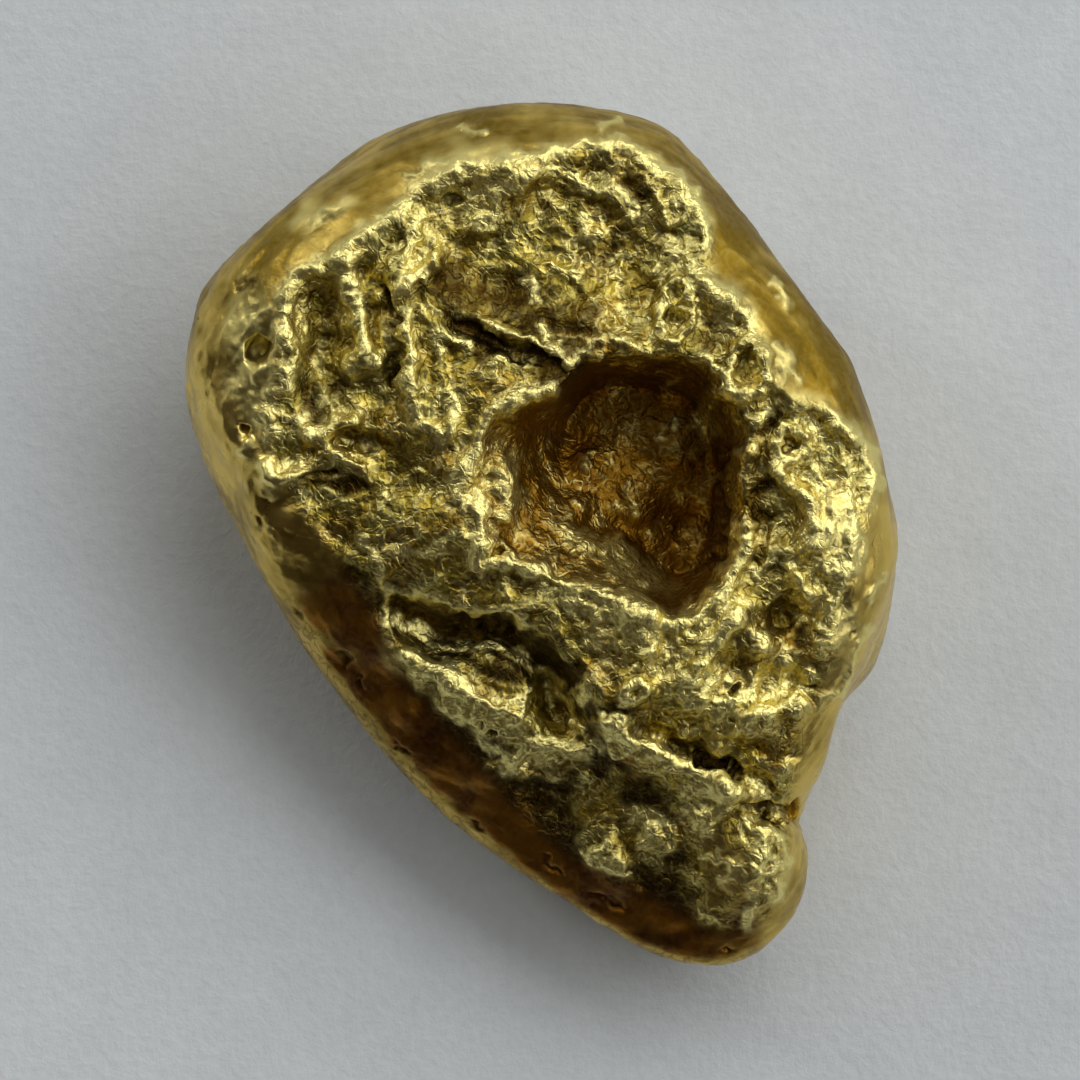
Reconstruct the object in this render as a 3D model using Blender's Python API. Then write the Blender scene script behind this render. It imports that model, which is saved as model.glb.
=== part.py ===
"""A gold nugget: one thick, stream-worn lump of native gold.

It has a ridge round its top, a deep pit, a shallow basin above the pit and another at the left, a fold
below the pit, and under the fold a lower tongue that ends in a round knob. It rests on a small worn flat.
+Z is up and +Y points to the broad end. The origin is on the resting plane, under the middle of the box.
Lengths are in millimetres until light_mesh turns them into metres.
"""

import math

import bmesh
import bpy
import numpy as np
from mathutils import Matrix, Vector, noise

# Driving dimensions
WIDTH = 12.4
LENGTH = 15.05
HEIGHT = 5.9
METRES = 0.001

# The mesh: cuts along each side of the cube that it starts from, triangles that are kept, sharpest fold
# between two of them, and height up to which the underside is pressed flat
GRID_CUTS = 119
TRIANGLES = 9800
SHARPEST_FOLD = math.radians(80)
RELAX_ROUNDS = 40
PRESSED_FLAT = 0.02

# The body: its outline seen from above, clockwise from the top
OUTLINE = [
    (0.40, 7.53), (2.00, 7.20), (3.20, 6.02), (4.70, 3.96), (5.34, 2.84), (5.76, 1.78), (6.17, 0.00),
    (5.92, -2.00), (5.20, -3.00), (4.86, -4.00), (4.60, -4.64), (4.52, -5.05), (4.65, -5.60),
    (4.50, -6.45), (3.80, -7.26), (2.90, -7.52), (1.80, -7.24), (0.50, -6.43), (-0.66, -5.68),
    (-1.95, -4.64), (-3.26, -3.14), (-4.34, -1.62), (-5.30, 0.20), (-5.96, 1.66), (-6.22, 2.90),
    (-5.80, 4.46), (-4.50, 5.74), (-3.00, 6.95), (-1.40, 7.46),
]  # fmt: skip

# Height of the smooth top before its relief: x, y, height
TOP_HEIGHTS = [
    (0.0, 6.5, 5.30), (2.6, 5.6, 5.45), (3.6, 3.4, 5.60), (5.4, 0.6, 5.55), (4.9, -1.8, 5.30),
    (4.2, -3.4, 4.90), (3.1, -4.2, 4.50), (3.7, -5.8, 3.90), (2.3, -6.5, 3.00), (1.2, -5.6, 3.15),
    (-0.3, -5.0, 2.95), (0.2, -3.9, 4.05), (-1.5, -3.4, 3.30), (-1.7, -2.4, 4.05), (-2.7, -1.8, 3.75),
    (-0.5, -1.2, 5.20), (1.2, -2.4, 5.25), (2.6, -2.6, 5.30), (1.0, 0.5, 5.30), (-2.0, 0.6, 5.10),
    (-3.2, -0.2, 4.65), (-4.4, 1.4, 4.75), (-4.4, 3.4, 5.00), (-3.0, 5.2, 5.20), (0.5, 4.8, 5.25),
]  # fmt: skip
TOP_BLEND = 1.15

# Round the outline, by compass angle in degrees counted from +X towards +Y:
# height of the widest line, and how square the shoulder above it is
SIDES = [
    (0, 2.9, 4.6), (45, 3.2, 4.4), (90, 3.1, 4.1), (135, 2.9, 3.7), (170, 2.5, 2.9),
    (210, 2.1, 2.45), (240, 2.1, 2.55), (270, 2.0, 2.5), (300, 2.1, 2.8), (325, 2.5, 3.6),
]  # fmt: skip
SIDE_DETAIL = 7
UNDERSIDE_SQUARE = 2.5
UNDERSIDE_BULGE = 0.16

# The ridge round the top, clockwise from the left
RIM = [
    (-4.55, 1.70), (-4.65, 2.20), (-4.40, 2.70), (-4.32, 3.10), (-4.45, 3.60), (-4.38, 4.15),
    (-4.05, 4.60), (-3.40, 4.88), (-2.95, 5.28), (-2.40, 5.65), (-2.00, 6.02), (-1.35, 6.35),
    (-0.60, 6.45), (0.10, 6.55), (0.80, 6.75), (1.50, 6.70), (2.10, 6.30), (2.60, 5.85),
    (2.85, 5.30), (2.72, 4.75), (2.90, 4.20), (3.40, 4.00), (3.70, 3.35), (3.90, 2.85),
    (4.30, 2.35), (4.90, 2.10), (5.40, 1.65), (5.65, 1.10), (5.50, 0.55), (5.35, 0.15),
    (5.30, -0.40), (5.10, -0.90), (4.85, -1.45), (4.75, -2.00), (4.65, -2.50),
]  # fmt: skip
# Crests along the top: points, height, width to the left and to the right of their direction
CRESTS = [
    (RIM, 0.28, 0.80, 0.25),
    # brow of the long smooth slope down the lower left side
    ([(-4.30, 0.70), (-3.70, -0.20), (-3.10, -0.90), (-2.75, -1.60), (-2.45, -2.30)], 0.20, 0.35, 0.85),
    # between the left basin and its neighbour channel
    ([(-3.40, 4.75), (-3.25, 4.20), (-3.10, 3.60), (-3.05, 3.30), (-3.30, 2.85)], 0.24, 0.17, 0.17),
    # the tongue of rough metal right of that channel
    ([(-2.05, 5.50), (-2.40, 4.85), (-2.50, 4.55), (-2.40, 4.15)], 0.20, 0.19, 0.19),
    ([(-1.75, 5.20), (-1.85, 4.70), (-2.30, 4.35)], 0.16, 0.17, 0.17),
    ([(-2.35, 3.85), (-2.28, 3.30), (-2.30, 2.60), (-2.20, 2.00), (-1.60, 1.78), (-1.48, 2.30)],
     0.18, 0.16, 0.16),
    # lower edge of the left basin
    ([(-4.15, 2.00), (-3.90, 1.75), (-3.45, 1.98), (-3.05, 2.08)], 0.18, 0.16, 0.16),
    ([(-3.80, 1.70), (-3.40, 1.34), (-2.95, 1.16)], 0.15, 0.16, 0.16),
    ([(-4.75, 1.25), (-4.40, 1.00), (-3.95, 1.10)], 0.15, 0.16, 0.16),
    # terrace inside the upper basin
    ([(-1.35, 5.35), (-0.85, 5.55), (-0.60, 6.00), (0.00, 6.22), (0.60, 6.12), (1.20, 5.98), (1.55, 5.65)],
     0.14, 0.25, 0.17),
    ([(1.75, 6.15), (2.05, 5.90), (2.12, 5.60)], 0.14, 0.16, 0.16),
    ([(2.20, 5.10), (2.12, 4.75), (1.95, 4.50)], 0.12, 0.16, 0.16),
    # slanting rib that closes the upper basin above the pit
    ([(-1.05, 3.70), (-0.50, 3.50), (0.00, 3.28), (0.50, 3.02)], 0.18, 0.20, 0.15),
    ([(0.62, 3.22), (1.00, 3.45), (1.60, 3.35), (2.00, 3.35)], 0.12, 0.17, 0.17),
    # broken, frothy ground right of the pit
    ([(3.95, 1.25), (4.25, 0.88), (4.62, 0.50), (4.58, 0.05)], 0.24, 0.17, 0.17),
    ([(4.90, 1.55), (5.20, 1.00), (5.00, 0.60), (4.90, 0.10), (4.45, -0.22)], 0.18, 0.17, 0.17),
    ([(4.28, -0.50), (4.42, -0.82), (4.65, -1.05)], 0.24, 0.18, 0.18),
    ([(4.00, 2.20), (3.70, 2.00), (3.60, 1.45)], 0.14, 0.17, 0.17),
    # edges of the right shoulder
    ([(3.45, -1.15), (3.20, -1.55), (2.90, -1.95), (2.72, -2.35)], 0.20, 0.18, 0.18),
    ([(4.50, -2.72), (4.25, -2.92), (3.80, -3.02), (3.45, -3.30), (3.20, -3.42)], 0.26, 0.30, 0.15),
    ([(3.50, -2.65), (3.62, -2.95), (3.00, -2.95), (2.60, -2.80)], 0.16, 0.20, 0.20),
    # upper lip of the fold
    ([(-2.70, -0.90), (-2.00, -0.98), (-1.40, -1.18), (-0.60, -1.30), (-0.05, -1.58), (0.32, -1.98),
      (0.78, -2.60), (1.15, -3.15)],
     0.20, 0.50, 0.18),
    # crest of the lower tongue, and the ridge that runs on from it
    ([(-2.60, -1.65), (-2.20, -2.12), (-1.70, -2.38), (-1.30, -2.72), (-0.85, -2.98), (-0.30, -3.00)],
     0.32, 0.20, 0.34),
    ([(1.00, -3.20), (1.65, -3.55), (2.30, -3.80), (2.95, -4.05), (3.35, -4.30), (3.95, -4.50)],
     0.28, 0.16, 0.32),
    # ledge across the tongue
    ([(-0.62, -4.10), (-0.30, -3.80), (0.05, -3.74), (0.40, -3.60), (0.80, -3.84)], 0.28, 0.50, 0.16),
]  # fmt: skip

# Grooves and creases along the top: points, depth, half width
GROOVES = [
    # the fold, deepest where it turns downhill
    ([(-2.75, -1.25), (-2.25, -1.48), (-1.50, -1.72), (-0.80, -1.72), (-0.25, -1.98), (0.10, -2.40),
      (0.22, -2.90), (0.55, -3.40), (1.05, -3.72)],
     0.62, 0.30),
    # crack between the right shoulder and the lower tongue, running out at the notch
    ([(1.90, -3.42), (2.45, -3.72), (3.00, -3.90), (3.45, -4.12), (3.90, -4.30)], 0.60, 0.16),
    ([(3.40, -4.62), (4.05, -4.74), (4.60, -4.98)], 0.65, 0.20),
    # channel between the left basin and the rough tongue beside it
    ([(-3.15, 4.65), (-3.00, 3.95), (-2.80, 3.40), (-2.52, 2.80), (-2.50, 2.40)], 0.22, 0.17),
    ([(-4.10, 1.30), (-3.45, 1.68), (-2.70, 1.56), (-2.35, 1.25)], 0.16, 0.13),
    ([(-1.50, 3.70), (-0.80, 3.36), (-0.25, 3.16), (0.25, 2.82)], 0.18, 0.13),
    ([(1.40, 5.25), (1.05, 4.75), (0.78, 4.25), (0.30, 4.20)], 0.10, 0.14),
    # furrows on the upper left flank
    ([(-5.15, 3.55), (-4.88, 3.30), (-4.65, 3.85)], 0.14, 0.13),
    # between the shoulder's two rows of lumps
    ([(2.05, -3.05), (2.60, -3.30), (3.10, -3.55), (3.90, -3.60)], 0.20, 0.20),
]  # fmt: skip

# Broad hollows: x, y, radius along x, radius along y, depth
HOLLOWS = [
    (0.60, 5.05, 1.35, 1.05, 0.32),
    (-0.70, 4.55, 0.90, 0.90, 0.18),
    (1.50, 4.30, 0.70, 0.80, 0.12),
    (-3.78, 3.35, 0.45, 1.20, 0.36),
    (-2.70, 2.30, 0.45, 0.60, 0.15),
    (-1.50, 2.95, 0.50, 0.70, 0.15),
    (-3.20, 0.35, 0.45, 0.35, 0.10),
    (3.85, 0.35, 0.38, 0.45, 0.32),
    (3.60, -0.50, 0.25, 0.45, 0.22),
    (4.20, -1.40, 0.40, 0.38, 0.45),
    (4.30, -2.40, 0.30, 0.28, 0.30),
    (-4.88, 3.22, 0.17, 0.16, 0.40),
    (-5.05, 1.85, 0.14, 0.12, 0.25),
    (0.20, -4.60, 0.70, 0.45, 0.28),
    (2.25, -6.55, 0.50, 0.35, 0.18),
    (-3.70, 5.45, 0.50, 0.32, 0.14),
    (-2.60, 0.95, 0.55, 0.35, 0.14),
    (0.08, -2.75, 0.18, 0.32, 0.18),
    (-3.35, -2.15, 0.20, 0.14, 0.12),
    (1.15, -6.32, 0.30, 0.16, 0.14),
]  # fmt: skip

# Rounded lumps: x, y, radius, height
MOUNDS = [
    (3.76, -5.90, 0.85, 0.50),
    (2.28, 5.58, 0.24, 0.16),
    (0.80, 5.35, 0.22, 0.12),
    (0.35, 5.60, 0.20, 0.10),
    (0.95, 3.70, 0.30, 0.14),
    (-2.85, 3.08, 0.20, 0.12),
    (-1.60, 0.10, 0.60, 0.14),
    (-2.85, -0.45, 0.42, 0.16),
    (0.65, -1.30, 0.38, 0.14),
    (1.55, -1.75, 0.42, 0.18),
    (2.65, -2.38, 0.34, 0.22),
    (1.60, -2.65, 0.40, 0.14),
    (1.30, -3.20, 0.28, 0.14),
    (3.78, -1.82, 0.30, 0.22),
    (4.85, -0.50, 0.30, 0.14),
    (3.45, 1.45, 0.18, 0.16),
    (3.20, -4.40, 0.30, 0.20),
    (2.85, -4.85, 0.24, 0.20),
    (1.10, -5.45, 0.38, 0.26),
    (1.38, -5.85, 0.26, 0.20),
    (1.95, -5.20, 0.32, 0.20),
    (-1.00, -4.20, 0.28, 0.12),
    (-2.30, -3.00, 0.24, 0.08),
    (-0.40, -3.05, 0.32, 0.18),
    (-1.90, -0.35, 0.35, 0.12),
    (3.90, -3.70, 0.55, 0.16),
]  # fmt: skip

# Blisters with a raised ring: x, y, ring radius along x and y, ring width, height
RINGS = [
    (2.30, 3.88, 0.27, 0.52, 0.10, 0.22),
    (3.50, 2.85, 0.33, 0.42, 0.10, 0.22),
    (4.27, 1.58, 0.28, 0.30, 0.09, 0.18),
    (1.60, -2.70, 0.20, 0.18, 0.09, 0.10),
    (-0.75, -0.25, 0.18, 0.16, 0.08, 0.10),
]  # fmt: skip

# The pit: its brink and the edge of its floor, both clockwise from the left
PIT_BRINK = [
    (-1.02, 0.10), (-1.10, 0.50), (-1.36, 0.86), (-1.18, 1.40),
    (-1.00, 1.90), (-0.55, 2.28), (0.10, 2.50),
    (0.62, 2.92), (1.00, 3.12), (1.70, 3.15), (2.40, 3.15), (2.85, 3.00), (3.08, 2.55), (3.40, 2.10),
    (3.50, 1.60), (3.38, 1.00), (3.42, 0.30), (3.50, -0.10), (3.32, -0.60), (2.95, -1.10), (2.45, -1.42),
    (1.95, -1.38), (1.40, -1.12), (0.80, -0.85), (0.20, -0.70), (-0.35, -0.48), (-1.02, -0.48),
]  # fmt: skip
PIT_FLOOR = [
    (0.50, 0.70), (0.35, 1.25), (0.35, 1.80), (0.65, 2.35), (1.10, 2.68), (1.90, 2.62), (2.45, 2.45),
    (2.80, 2.00), (2.95, 1.40), (2.95, 0.60), (2.85, -0.10), (2.50, -0.60), (2.05, -0.45), (1.50, 0.05),
    (0.90, 0.35),
]  # fmt: skip
PIT_DEPTH = 2.20
PIT_WALL_STRAIGHT = 0.55
# Where the pit is shallower: x, y, radius, share of its depth
PIT_SHALLOW = (-0.10, 0.20, 1.50, 0.42)
PIT_SHELF = [
    (-0.48, 0.10), (-0.45, 0.60), (-0.48, 1.15), (-0.72, 1.55),
    (-0.98, 1.60), (-1.15, 1.20), (-1.30, 0.85),
    (-0.95, 0.50), (-0.95, 0.00), (-0.90, -0.35), (-0.55, -0.30),
]  # fmt: skip
PIT_SHELF_DEPTH = 0.32
PIT_LUMPS = [
    (0.85, 1.25, 0.32, 0.22), (1.55, 0.85, 0.24, 0.20),
    (1.68, 0.45, 0.20, 0.14), (0.65, 0.55, 0.22, 0.14),
    (2.35, 2.60, 0.26, 0.30), (2.70, 3.05, 0.20, 0.25),
    (2.40, 1.55, 0.40, 0.20), (0.75, -0.20, 0.22, 0.12),
    (-0.75, 1.15, 0.14, 0.10), (-0.70, 0.80, 0.13, 0.10),
    (-0.62, 0.35, 0.14, 0.10), (2.45, 0.20, 0.35, -0.20),
    (0.35, 2.05, 0.40, -0.18), (2.35, -0.60, 0.32, -0.16),
]  # fmt: skip

# Worn dents round the sides, above and below the widest line: compass angle in degrees, height above the
# resting plane, half width, half height, depth
SIDE_DENTS = [
    (12, 1.2, 1.7, 0.9, 0.34), (40, 4.1, 1.0, 0.6, 0.10),
    (66, 1.5, 1.3, 0.8, 0.26), (98, 1.1, 1.6, 0.8, 0.36),
    (118, 4.0, 1.1, 0.6, 0.12), (141, 1.3, 1.2, 0.7, 0.24),
    (158, 3.7, 0.9, 0.6, 0.12), (176, 1.0, 1.3, 0.6, 0.28),
    (214, 1.0, 1.4, 0.5, 0.22), (250, 0.9, 1.1, 0.5, 0.20),
    (283, 0.8, 0.9, 0.5, 0.20), (318, 1.0, 0.9, 0.7, 0.30),
    (340, 3.9, 0.9, 0.6, 0.10), (345, 1.2, 0.9, 0.8, 0.20),
]  # fmt: skip

# Slow swells over the whole lump: size, height
SWELLS = [(3.0, 0.42), (1.5, 0.16), (0.7, 0.04)]
UNDER_SWELLS = [(2.8, 0.34), (1.3, 0.12)]
UNDER_HOLLOWS = [
    (-3.4, 3.6, 1.1, 0.9, 0.35), (3.3, 2.6, 0.9, 1.3, 0.40), (2.6, -4.6, 0.8, 0.9, 0.30),
    (-1.2, -3.0, 0.9, 0.6, 0.25), (0.6, 5.2, 1.2, 0.6, 0.30), (-3.6, 0.0, 0.6, 0.8, 0.22),
]  # fmt: skip
FLAT_RADIUS = 1.6

GOLD_COLOUR = (0.62, 0.44, 0.10, 1.0)
GOLD_ROUGHNESS = 0.28


def clear_scene():
    for obj in list(bpy.data.objects):
        bpy.data.objects.remove(obj, do_unlink=True)


def smooth_path(points, closed=False, steps=8):
    """Points along the Catmull-Rom curve through the given points."""
    knots = np.array(points, float)
    if closed:
        knots = np.vstack([knots[-1], knots, knots[0], knots[1]])
    else:
        knots = np.vstack([2 * knots[0] - knots[1], knots, 2 * knots[-1] - knots[-2]])
    t = (np.arange(steps) / steps)[:, None]
    pieces = []
    for before, start, end, after in zip(knots, knots[1:], knots[2:], knots[3:]):
        pieces.append(
            0.5
            * (
                2 * start
                + (end - before) * t
                + (2 * before - 5 * start + 4 * end - after) * t**2
                + (3 * start - before - 3 * end + after) * t**3
            )
        )
    pieces.append(knots[-2:-1])
    return np.vstack(pieces)


def smoothstep(x):
    x = np.clip(x, 0, 1)
    return x * x * (3 - 2 * x)


def path_distance(plan, path):
    """Signed distance to the path, positive on its left, and how far along it the nearest place is."""
    nearest = np.full(len(plan), np.inf)
    side = np.ones(len(plan))
    along = np.zeros(len(plan))
    lengths = np.linalg.norm(np.diff(path, axis=0), axis=1)
    starts = np.concatenate([[0], np.cumsum(lengths)])
    for i, (start, end) in enumerate(zip(path, path[1:])):
        run = end - start
        offset = plan - start
        t = np.clip(offset @ run / (run @ run), 0, 1)
        gap = np.linalg.norm(offset - t[:, None] * run, axis=1)
        closer = gap < nearest
        nearest[closer] = gap[closer]
        side[closer] = np.sign(run[0] * offset[:, 1] - run[1] * offset[:, 0])[closer]
        along[closer] = ((starts[i] + t * lengths[i]) / starts[-1])[closer]
    return nearest * side, along


def is_inside(plan, path):
    """Which points lie inside the closed path."""
    inside = np.zeros(len(plan), bool)
    x, y = plan.T
    for (x0, y0), (x1, y1) in zip(path, np.roll(path, -1, axis=0)):
        if y0 == y1:
            continue
        crosses = (y0 > y) != (y1 > y)
        inside ^= crosses & (x < x0 + (y - y0) * (x1 - x0) / (y1 - y0))
    return inside


def crest(plan, points, height, left, right):
    """A ridge that dies out at its two ends, with a width of its own on each side."""
    distance, along = path_distance(plan, smooth_path(points))
    width = np.where(distance > 0, left, right)
    ends = smoothstep(along / 0.12) * smoothstep((1 - along) / 0.12)
    return height * (0.35 + 0.65 * ends) * np.exp(-((distance / width) ** 2))


def groove(plan, points, depth, half_width):
    distance, along = path_distance(plan, smooth_path(points))
    ends = smoothstep(along / 0.25) * smoothstep((1 - along) / 0.25)
    return -depth * (0.3 + 0.7 * ends) * np.exp(-((distance / half_width) ** 2))


def bump(plan, x, y, radius_x, radius_y, height):
    away = ((plan[:, 0] - x) / radius_x) ** 2 + ((plan[:, 1] - y) / radius_y) ** 2
    return height * np.exp(-away)


def ring(plan, x, y, radius_x, radius_y, width, height):
    """A raised oval line round a slightly sunken middle."""
    away = np.hypot((plan[:, 0] - x) / radius_x, (plan[:, 1] - y) / radius_y)
    radius = min(radius_x, radius_y)
    line = height * np.exp(-(((away - 1) * radius / width) ** 2))
    return line - 0.5 * height * np.exp(-((away / 0.7) ** 2))


def pit(plan):
    """Depth of the pit: from its brink down to the edge of its floor, with a shelf on the left."""
    brink = smooth_path(PIT_BRINK, closed=True, steps=5)
    floor = smooth_path(PIT_FLOOR, closed=True, steps=5)
    shelf = smooth_path(PIT_SHELF, closed=True, steps=5)
    to_brink = np.abs(path_distance(plan, brink)[0])
    to_floor = np.abs(path_distance(plan, floor)[0])
    wall = np.where(is_inside(plan, floor), 1, to_brink / (to_brink + to_floor + 1e-9))
    x, y, radius, share = PIT_SHALLOW
    full_depth = PIT_DEPTH * (1 - bump(plan, x, y, radius, radius, share))
    fall = PIT_WALL_STRAIGHT * wall + (1 - PIT_WALL_STRAIGHT) * smoothstep(wall)
    depth = np.where(is_inside(plan, brink), full_depth * fall, 0)
    in_shelf = is_inside(plan, shelf)
    shelf_edge = smoothstep(np.abs(path_distance(plan, shelf)[0]) / 0.12)
    raised = np.minimum(depth, PIT_SHELF_DEPTH) - depth
    depth = np.where(in_shelf, depth + raised * shelf_edge, depth)
    lumps = sum(bump(plan, x, y, radius, radius, height) for x, y, radius, height in PIT_LUMPS)
    sunk = smoothstep(depth / 0.6)
    brow = 0.10 * np.exp(-((to_brink / 0.16) ** 2))
    return brow - depth + lumps * np.maximum(sunk, in_shelf)


def top_relief(plan):
    relief = pit(plan)
    for points, height, left, right in CRESTS:
        relief += crest(plan, points, height, left, right)
    for points, depth, half_width in GROOVES:
        relief += groove(plan, points, depth, half_width)
    for x, y, radius_x, radius_y, depth in HOLLOWS:
        relief += bump(plan, x, y, radius_x, radius_y, -depth)
    for x, y, radius, height in MOUNDS:
        relief += bump(plan, x, y, radius, radius, height)
    for x, y, radius_x, radius_y, width, height in RINGS:
        relief += ring(plan, x, y, radius_x, radius_y, width, height)
    return relief


def swell(points, rows, start):
    """Smooth noise over the surface, the same on every run."""
    total = np.zeros(len(points))
    for i, (size, height) in enumerate(rows):
        origin = Vector((start + 7.3 * i, 2.1 * i, 5.7 - start))
        total += height * np.array([noise.noise(Vector(p / size) + origin) for p in points])
    return total


def top_height(plan):
    """The smooth top: a weighted mean of the nearest given heights."""
    weights = np.zeros(len(plan))
    heights = np.zeros(len(plan))
    for x, y, height in TOP_HEIGHTS:
        away = (plan[:, 0] - x) ** 2 + (plan[:, 1] - y) ** 2
        weight = np.exp(-away / (2 * TOP_BLEND**2)) + 1e-4 / (1 + away)
        weights += weight
        heights += weight * height
    return heights / weights


def round_the_side(angle, given_degrees, given_values):
    """A value given at a few compass angles, eased from each to the next."""
    turn = np.radians(np.arange(360))
    values = np.interp(np.arange(360), given_degrees, given_values, period=360)
    waves = np.fft.rfft(values)
    waves *= np.exp(-((np.arange(len(waves)) / SIDE_DETAIL) ** 2))
    return np.interp(angle, turn, np.fft.irfft(waves, 360), period=2 * math.pi)


def side_dents(points, outward, reach):
    """How far each point is pressed in by the dents round the sides."""
    pressed = np.zeros(len(points))
    for degrees, height, half_width, half_height, depth in SIDE_DENTS:
        turn = math.radians(degrees)
        centre = np.interp(turn, *reach, period=2 * math.pi) * np.array([math.cos(turn), math.sin(turn)])
        away = ((points[:, :2] - centre) ** 2).sum(axis=1) / half_width**2
        away += ((points[:, 2] - height) / half_height) ** 2
        pressed += depth * np.exp(-away)
    return outward * pressed[:, None]


def body_points(directions):
    """Puts each direction of a unit sphere on the nugget's surface."""
    x, y, z = directions.T
    angle = np.arctan2(y, x)
    outline = smooth_path(OUTLINE, closed=True)[:-1]
    outline_reach = (np.arctan2(outline[:, 1], outline[:, 0]), np.hypot(*outline.T))
    reach = np.interp(angle, *outline_reach, period=2 * math.pi)
    side_angle, side_height, side_square = np.array(SIDES).T
    widest = round_the_side(angle, side_angle, side_height)
    square = np.where(z > 0, round_the_side(angle, side_angle, side_square), UNDERSIDE_SQUARE)

    across = 0.5 * np.hypot(x, y)
    size = (across**square + np.abs(z) ** square) ** (1 / square)
    out = across / size
    up = np.abs(z) / size
    plan = np.stack([np.cos(angle), np.sin(angle)], axis=1) * (out * reach)[:, None]

    on_top = widest + (top_height(plan) - widest) * up
    on_top += smoothstep((up - 0.25) / 0.45) * top_relief(plan)
    below = widest - (widest + UNDERSIDE_BULGE) * up
    points = np.column_stack([plan, np.where(z > 0, on_top, below)])

    hollow = sum(bump(plan, *row[:4], row[4]) for row in UNDER_HOLLOWS)
    clear_of_flat = smoothstep((np.hypot(plan[:, 0], plan[:, 1]) - 0.6 * FLAT_RADIUS) / FLAT_RADIUS)
    lift = swell(points, UNDER_SWELLS, 11.0) * clear_of_flat + hollow
    outward = directions * np.array([1, 1, 0])
    off_outline = 1 - np.exp(-((up / 0.45) ** 2))
    points += outward * (off_outline * (1 - up**4) * swell(points, SWELLS, 3.0))[:, None]
    points -= side_dents(points, outward, outline_reach)
    points[:, 2] += np.where(z > 0, smoothstep(up) * swell(points, SWELLS[1:], 29.0), 0)
    points[:, 2] += np.where(z > 0, 0, lift * up)
    points[:, 2] = np.maximum(points[:, 2], 0)
    return points


def fit_to_size(points):
    """Scales and shifts the points so that their box is exactly the driving one, standing on z = 0."""
    low, high = points.min(axis=0), points.max(axis=0)
    middle = (low + high) / 2
    middle[2] = low[2]
    return (points - middle) * np.array([WIDTH, LENGTH, HEIGHT]) / (high - low)


def fine_mesh():
    """A cube cut into a grid and blown up to a sphere, then laid on the nugget's surface."""
    bm = bmesh.new()
    bmesh.ops.create_cube(bm, size=2)
    bmesh.ops.subdivide_edges(bm, edges=bm.edges[:], cuts=GRID_CUTS, use_grid_fill=True)
    directions = np.array([vert.co for vert in bm.verts])
    directions = np.tan(directions * math.pi / 4)
    directions /= np.linalg.norm(directions, axis=1)[:, None]
    points = fit_to_size(body_points(directions))
    for vert, point in zip(bm.verts, points):
        vert.co = point
    bmesh.ops.recalc_face_normals(bm, faces=bm.faces[:])
    mesh = bpy.data.meshes.new("nugget_fine")
    bm.to_mesh(mesh)
    bm.free()
    return mesh


def relax_folds(mesh):
    """Eases the few edges that thinning has left folded almost shut."""
    bm = bmesh.new()
    bm.from_mesh(mesh)
    for _ in range(RELAX_ROUNDS):
        folds = [edge for edge in bm.edges if edge.calc_face_angle() > SHARPEST_FOLD]
        folded = {vert for edge in folds for face in edge.link_faces for vert in face.verts}
        bmesh.ops.smooth_vert(
            bm, verts=list(folded), factor=0.5, use_axis_x=True, use_axis_y=True, use_axis_z=True
        )
    bm.to_mesh(mesh)
    bm.free()


def make_resting_face(mesh):
    """Presses the lowest points onto z = 0 and joins the triangles that lie in it into one face."""
    bm = bmesh.new()
    bm.from_mesh(mesh)
    for vert in bm.verts:
        if vert.co.z < PRESSED_FLAT:
            vert.co.z = 0
    resting = [face for face in bm.faces if all(vert.co.z == 0 for vert in face.verts)]
    bmesh.ops.dissolve_faces(bm, faces=resting, use_verts=True)
    bm.to_mesh(mesh)
    bm.free()


def light_mesh(fine):
    """The fine mesh with its flat stretches thinned out, in metres."""
    draft = bpy.data.objects.new("nugget_draft", fine)
    bpy.context.scene.collection.objects.link(draft)
    thin = draft.modifiers.new("thin", "DECIMATE")
    thin.ratio = TRIANGLES / (2 * len(fine.polygons))
    thin.use_collapse_triangulate = True
    bpy.context.view_layer.update()
    evaluated = draft.evaluated_get(bpy.context.evaluated_depsgraph_get())
    mesh = bpy.data.meshes.new_from_object(evaluated)
    bpy.data.objects.remove(draft)
    relax_folds(mesh)
    points = np.empty(len(mesh.vertices) * 3)
    mesh.vertices.foreach_get("co", points)
    points = fit_to_size(points.reshape(-1, 3))
    mesh.vertices.foreach_set("co", points.ravel())
    make_resting_face(mesh)
    mesh.transform(Matrix.Scale(METRES, 4))
    mesh.name = "nugget"
    mesh.shade_smooth()
    return mesh


def gold_material():
    material = bpy.data.materials.new("native_gold")
    material.use_nodes = True
    shader = material.node_tree.nodes["Principled BSDF"]
    shader.inputs["Base Color"].default_value = GOLD_COLOUR
    shader.inputs["Metallic"].default_value = 1.0
    shader.inputs["Roughness"].default_value = GOLD_ROUGHNESS
    return material


def build_nugget():
    clear_scene()
    nugget = bpy.data.objects.new("nugget", light_mesh(fine_mesh()))
    nugget.data.materials.append(gold_material())
    collection = bpy.data.collections.new("gold_nugget")
    bpy.context.scene.collection.children.link(collection)
    collection.objects.link(nugget)


build_nugget()
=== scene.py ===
"""Looks of the gold nugget: its fine surface, its gold, the paper it lies on, the light and the camera.

Places on the nugget are in millimetres, seen from above in the frame of the solid: x to the right, y towards
the broad end. Everything else is in metres.
"""

import math

import bmesh
import bpy
import numpy as np
from mathutils import Matrix, Vector, noise


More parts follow.
